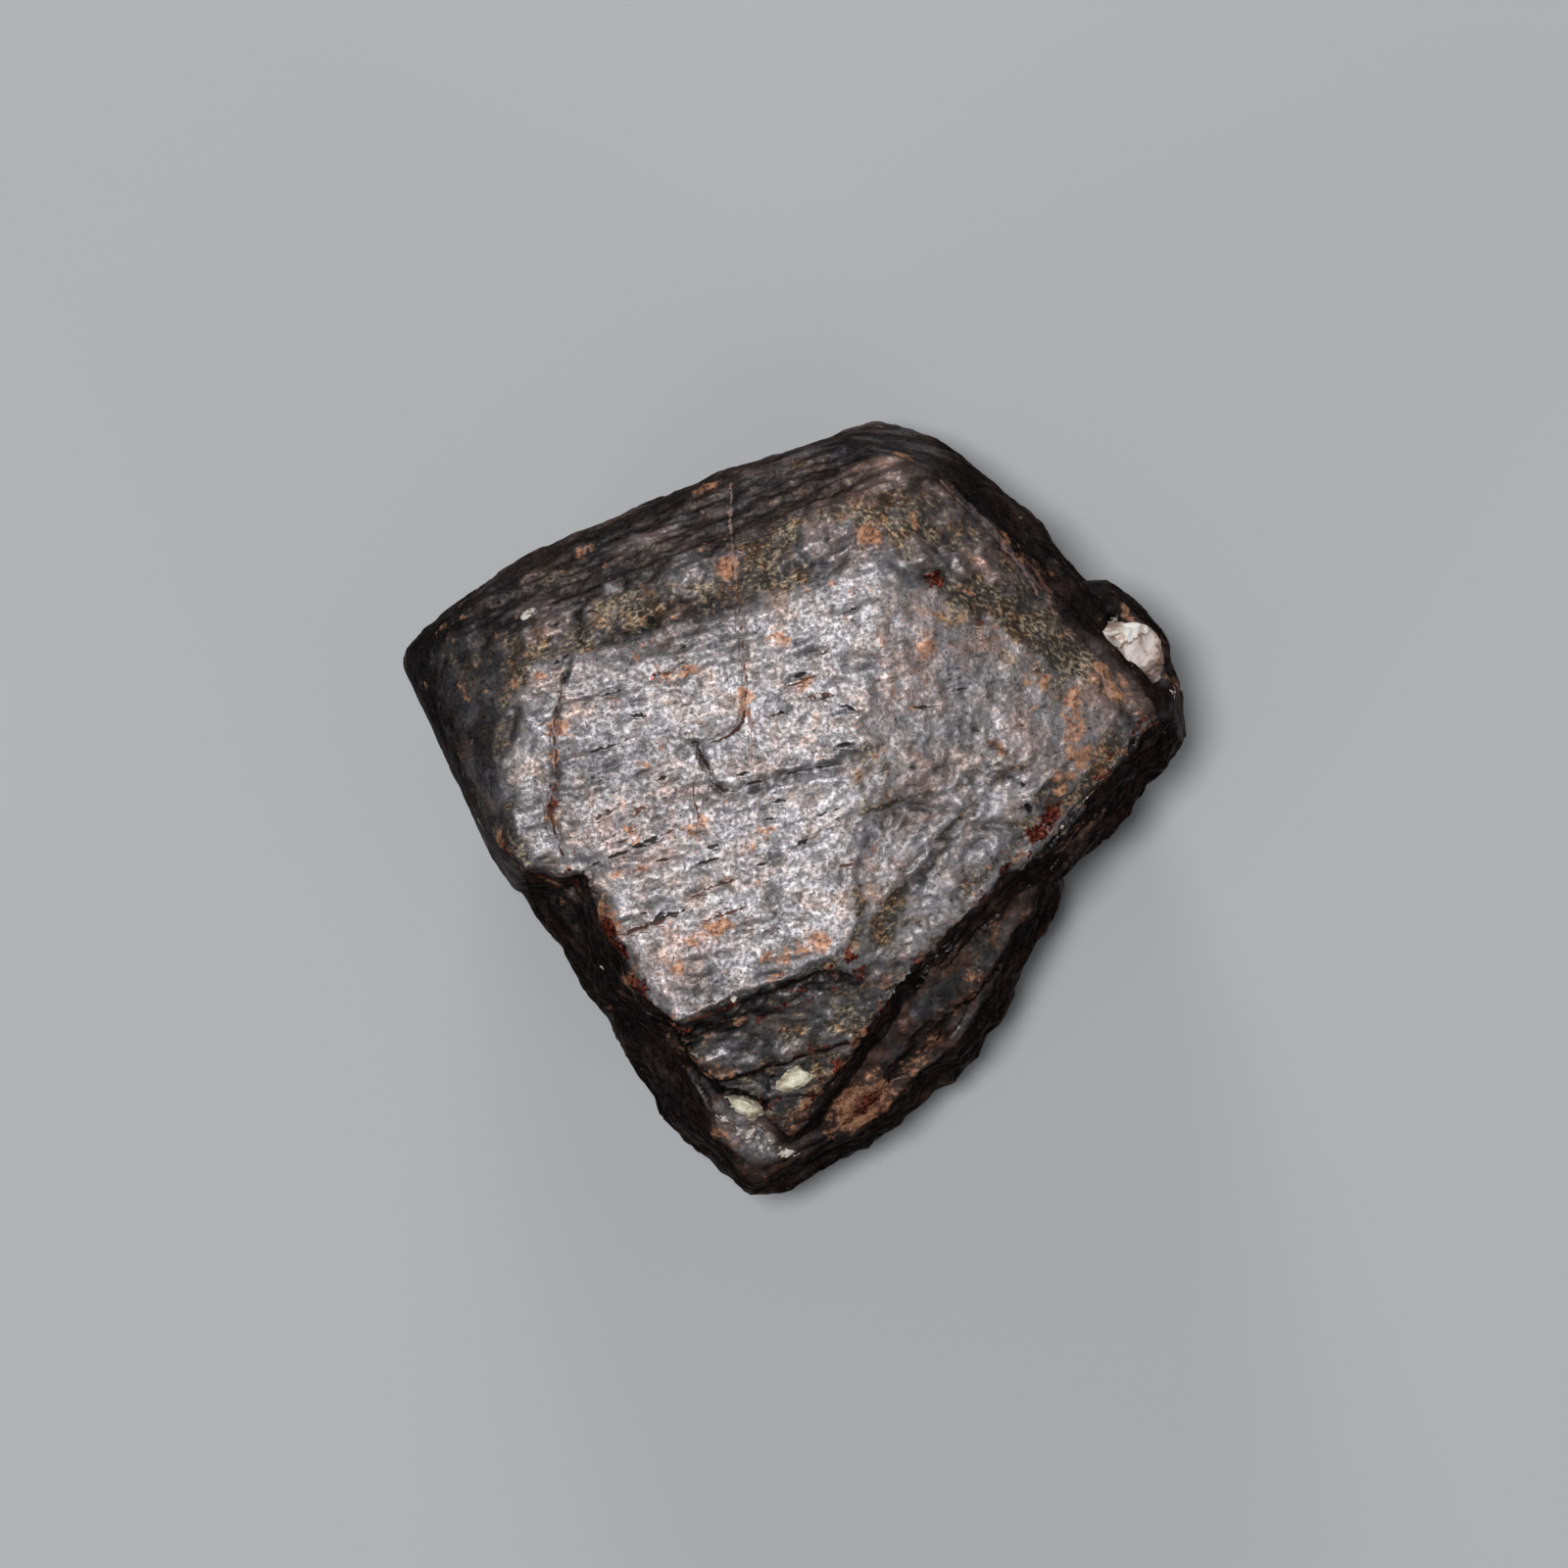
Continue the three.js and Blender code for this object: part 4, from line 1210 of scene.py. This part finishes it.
# %% Film
swarm = g.noise(0.7, 3, 0.6)
crumb_left = g.noise(0.085, 3, 0.65, g.stretched(SLOPE_AXIS, 1.4))
crumb_right = g.noise(0.085, 3, 0.65, g.stretched(RIGHT_AXIS, 1.6))
crumb = g.mix(g.layer("rightward"), crumb_left, crumb_right)
crumb = g.sum(crumb, g.centred(swarm), 0.5)
film_colour = g.ramp(
    crumb,
    (0.42, (0.030, 0.026, 0.022)),
    (0.49, (0.062, 0.053, 0.042)),
    (0.55, (0.150, 0.126, 0.090)),
    (0.66, (0.350, 0.272, 0.182)),
)
ochre_share = g.step(g.noise(0.6, 3, 0.6), 0.48, 0.62)
film_colour = g.tinted(film_colour, ochre_share, (1.1, 0.78, 0.58))
cover = g.sum(g.layer("film"), g.centred(grit), 1.5)
cover = g.sum(cover, g.centred(patchy), 0.9)
film_share = g.step(cover, 0.35, 0.85, 0.0, 0.9)

# %% Umber under the film, and the lobe's brown
warm = g.sum(g.layer("umber"), g.centred(g.noise(1.1, 4, 0.65)), 1.6)
warm = g.sum(warm, g.centred(grit), 1.2)
colour = g.tinted(colour, g.step(warm, 0.2, 0.95), (1.16, 0.92, 0.83))
colour = g.mix(film_share, colour, film_colour)
brown = g.ramp(grit, (0.35, (0.020, 0.011, 0.008)), (0.65, (0.095, 0.046, 0.032)))
brown_share = g.times(g.layer("brown"), g.step(patchy, 0.4, 0.6, 0.1, 0.8))
colour = g.mix(brown_share, colour, brown)

# %% [markdown]
# ## Rust, red glass and dark furrows
# The patches of rust and red glass break into crumbs towards their edges. Furrows hold black dirt, and
# their darkness is also painted shade. Last come the pricks, tiny grey glints painted into the colour,
# strongest where the metal is polished.

# %% Rust
rust_tint = g.ramp(
    g.noise(0.16, 4, 0.7),
    (0.38, (0.075, 0.032, 0.022)),
    (0.48, (0.26, 0.115, 0.062)),
    (0.60, (0.43, 0.235, 0.14)),
)
rust_share = scattered(g.noise(0.35, 5, 0.7), "rust", 4.0, 0.4, 0.9)
colour = g.mix(g.times(rust_share, 0.8), colour, rust_tint)

# %% Red glass
red_tint = g.ramp(
    speck,
    (0.40, (0.014, 0.004, 0.003)),
    (0.52, (0.075, 0.015, 0.010)),
    (0.64, (0.20, 0.062, 0.036)),
)
red_share = scattered(g.noise(0.16, 3, 0.7), "red", 3.0, 0.5, 0.85)
colour = g.mix(red_share, colour, red_tint)

# %% Dirt, painted shade and painted glints
# Furrows and pits are painted near black, partly as dirt and partly as painted shade.
dirt_and_shade_share = g.step(g.sum(g.layer("dirt_and_shade"), g.centred(speck), 1.6), 0.15, 0.8, 0, 0.9)
colour = g.mix(dirt_and_shade_share, colour, (0.012, 0.010, 0.009, 1))
# Pricks: grey specks painted as glints, strongest where the metal is polished.
prick = g.step(g.noise(0.10, 3, 0.7), 0.66, 0.74)
painted_glint_share = g.times(prick, g.step(polish_and_light_share, 0.2, 0.8, 0.08, 1))
colour = g.mix(painted_glint_share, colour, (0.46, 0.45, 0.46, 1))

# %% [markdown]
# ## Hairlines and crumbs in the finish
# A line is drawn where the kept distance passes zero. A wobble bends it and grit breaks it, so that it
# looks like a crack and not a pen stroke. Its colour runs from black through dark red to a pale pink, and
# the pale pink lines along the ridges are painted highlights. Pale crumbs lie over everything, and at the
# tip and on the knee they are partly painted sheen.

# %% Hairlines
wobble = g.centred(g.noise(0.2, 2, 0.6))
off_line = g.maths("ABSOLUTE", g.sum(g.layer("line_side"), wobble, 0.14))
ragged = g.times(g.layer("line_width"), g.step(grit, 0.38, 0.58, 0.0, 1.3))
line_share = g.step(g.sum(ragged, off_line, -1), -0.012, 0.014)
line_and_highlight_colour = g.ramp(
    g.layer("line_red_and_sheen"),
    (0.0, (0.010, 0.008, 0.007)),
    (0.6, (0.11, 0.042, 0.024)),
    (1.0, (0.30, 0.19, 0.16)),
)
colour = g.mix(g.times(line_share, 0.85), colour, line_and_highlight_colour)

# %% Crumbs
pale_share = g.step(g.sum(g.layer("pale"), g.centred(g.noise(0.2, 3, 0.7)), 3.0), 0.0, 0.2)
pale_tint = g.ramp(
    crumb,
    (0.36, (0.22, 0.17, 0.14)),
    (0.50, (0.50, 0.46, 0.41)),
    (0.64, (0.62, 0.60, 0.55)),
)
colour = g.mix(pale_share, colour, pale_tint)
g.put(rutile_shader.inputs["Base Color"], colour)

# %% [markdown]
# ## Gloss and metal
# Metal is satin, with finer specks of gloss. Red glass, pricks and fresh breaks are
# glossier, and film, dirt and hairlines duller. Stains and crumbs aren't metal. The last
# fine unevenness is a bump, because it is too small for the mesh.

# %% Gloss
gloss = g.step(speck, 0.35, 0.65, 0.56, 0.44)
gloss = g.sum(gloss, prick, -0.15)
gloss = g.sum(gloss, red_share, -0.25)
gloss = g.sum(gloss, line_share, 0.2)
gloss = g.sum(gloss, film_share, 0.05)
gloss = g.sum(gloss, g.layer("fresh"), -0.13)
gloss = g.sum(gloss, g.layer("coarse_grain_and_sheen"), 0.10)
g.put(rutile_shader.inputs["Roughness"], g.sum(gloss, dirt_and_shade_share, 0.2))

# %% Metal and fine unevenness
metal = g.sum(0.88, film_share, -0.4)
metal = g.sum(metal, rust_share, -0.5)
metal = g.sum(metal, red_share, -0.4)
metal = g.sum(metal, pale_share, -0.8)
unpolished_and_shaded = g.sum(1, polish_and_light_share, -1)
metal = g.sum(metal, g.times(prick, unpolished_and_shaded), -0.6)
g.put(rutile_shader.inputs["Metallic"], g.maths("MAXIMUM", metal, 0.05))
relief_fine = g.bump(grit, 0.018)
relief_fine = g.bump(speck, 0.008, relief_fine)
g.put(rutile_shader.inputs["Normal"], relief_fine)
crystal_mesh.materials.append(rutile)
print("rutile finish:", len(rutile.node_tree.nodes), "nodes")

# %% [markdown]
# ## Quartz and feldspar
# The white grain at the right corner is milky quartz, glassy and angular, with two brown
# cracks across it. The two near the tip are cream feldspar, duller, with brown dirt. Both
# finishes are a ramp of colours over noise. The cracks follow a slanting line through
# Object coordinates, which noise bends.

# %% Milky quartz
quartz, quartz_shader = new_material("milky_quartz", Roughness=0.22, IOR=1.55)
g = Graph(quartz)
milk = g.ramp(
    g.noise(0.6, 4, 0.7),
    (0.38, (0.18, 0.11, 0.07)),
    (0.47, (0.50, 0.40, 0.34)),
    (0.58, (0.76, 0.74, 0.70)),
)
spot = g.add("ShaderNodeSeparateXYZ", Vector=g.place)
across_crack = g.sum(spot.outputs["Y"], spot.outputs["X"], -0.5)
across_crack = g.sum(across_crack, g.centred(g.noise(0.3, 3, 0.6)), 0.4 * MM)
lower_part = g.step(across_crack, -0.10 * MM, 0.04 * MM, 1.0, 0.0)
milk = g.tinted(milk, lower_part, (0.88, 0.78, 0.78))
crack = g.step(g.maths("ABSOLUTE", across_crack), 0.01 * MM, 0.05 * MM, 0.8, 0.0)
milk = g.mix(crack, milk, (0.16, 0.075, 0.035, 1))
across_second = g.maths("ABSOLUTE", g.sum(across_crack, 0.73 * MM))
second_crack = g.step(across_second, 0.01 * MM, 0.06 * MM, 0.6, 0.0)
milk = g.mix(second_crack, milk, (0.20, 0.095, 0.05, 1))
g.put(quartz_shader.inputs["Base Color"], milk)
g.put(quartz_shader.inputs["Normal"], g.bump(g.noise(0.12, 3, 0.6), 0.02))

# %% Cream feldspar
feldspar, feldspar_shader = new_material("cream_feldspar", Roughness=0.5, IOR=1.53)
g = Graph(feldspar)
cream = g.ramp(
    g.noise(0.3, 4, 0.7),
    (0.38, (0.16, 0.11, 0.07)),
    (0.48, (0.42, 0.37, 0.26)),
    (0.62, (0.68, 0.66, 0.52)),
)
g.put(feldspar_shader.inputs["Base Color"], cream)
g.put(feldspar_shader.inputs["Normal"], g.bump(g.noise(0.08, 3, 0.6), 0.015))
print("materials:", len(bpy.data.materials))

# %% [markdown]
# ## The three grains
# A broken grain is bounded by flat fractures. Each solid is remeshed finely and widened a
# little, so that it closes its socket. Then planes at random angles press in what sticks
# out past them, which cuts flat facets, and a little noise roughens them.

# %% How a grain is made
ROUGH_SIZE = 0.35  # mm between the lumps on a facet


def grain(node, cell, rough, widen, facets, material):
    """The grain's solid, widened a little, cut by a few flat fractures and roughened."""
    solid_grain = in_millimetres(node)
    shape = remeshed(solid_grain, cell)
    tree = BVHTree.FromBMesh(solid_grain)
    for vertex in shape.verts:
        vertex.co = tree.find_nearest(vertex.co)[0]
    places = np.array([vertex.co[:] for vertex in shape.verts])
    middle = places.mean(0)
    places = middle + (places - middle) * widen
    chips = np.random.default_rng(facets)
    for _ in range(facets):
        way = chips.normal(size=3) * (1, 1, 0.6)
        way /= np.linalg.norm(way)
        out = (places - middle) @ way
        limit = chips.uniform(0.58, 0.82) * out.max()
        places -= np.outer(np.maximum(out - limit, 0), way)
    for vertex, place in zip(shape.verts, places):
        vertex.co = place
    shape.normal_update()
    for vertex in shape.verts:
        lift = noise.fractal(vertex.co / ROUGH_SIZE, 1.0, 2.0, 3)
        vertex.co += vertex.normal * (rough * (lift - 0.2))
    for face in shape.faces:
        face.smooth = True
    bmesh.ops.scale(shape, vec=(MM,) * 3, verts=shape.verts)
    mesh = bpy.data.meshes.new(node + "_skin")
    shape.to_mesh(mesh)
    shape.free()
    solid_grain.free()
    piece = bpy.data.objects.new(node + "_skin", mesh)
    bpy.context.collection.objects.link(piece)
    mesh.materials.append(material)
    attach(piece, "root")
    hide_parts(node)
    sides = [round(float(side), 2) for side in np.ptp(places, 0)]
    print(node, len(mesh.polygons), "faces, mm:", sides)


# %% Grains
# Node, square in mm, roughness in mm, widening along X, Y and Z, facets, finish.
grain("quartz_grain", 0.05, 0.05, (1.6, 1.2, 1.3), 14, quartz)
grain("feldspar_grain_upper", 0.03, 0.06, (1.2, 1.4, 1.2), 8, feldspar)
grain("feldspar_grain_lower", 0.03, 0.07, (1.1, 1.25, 1.3), 9, feldspar)
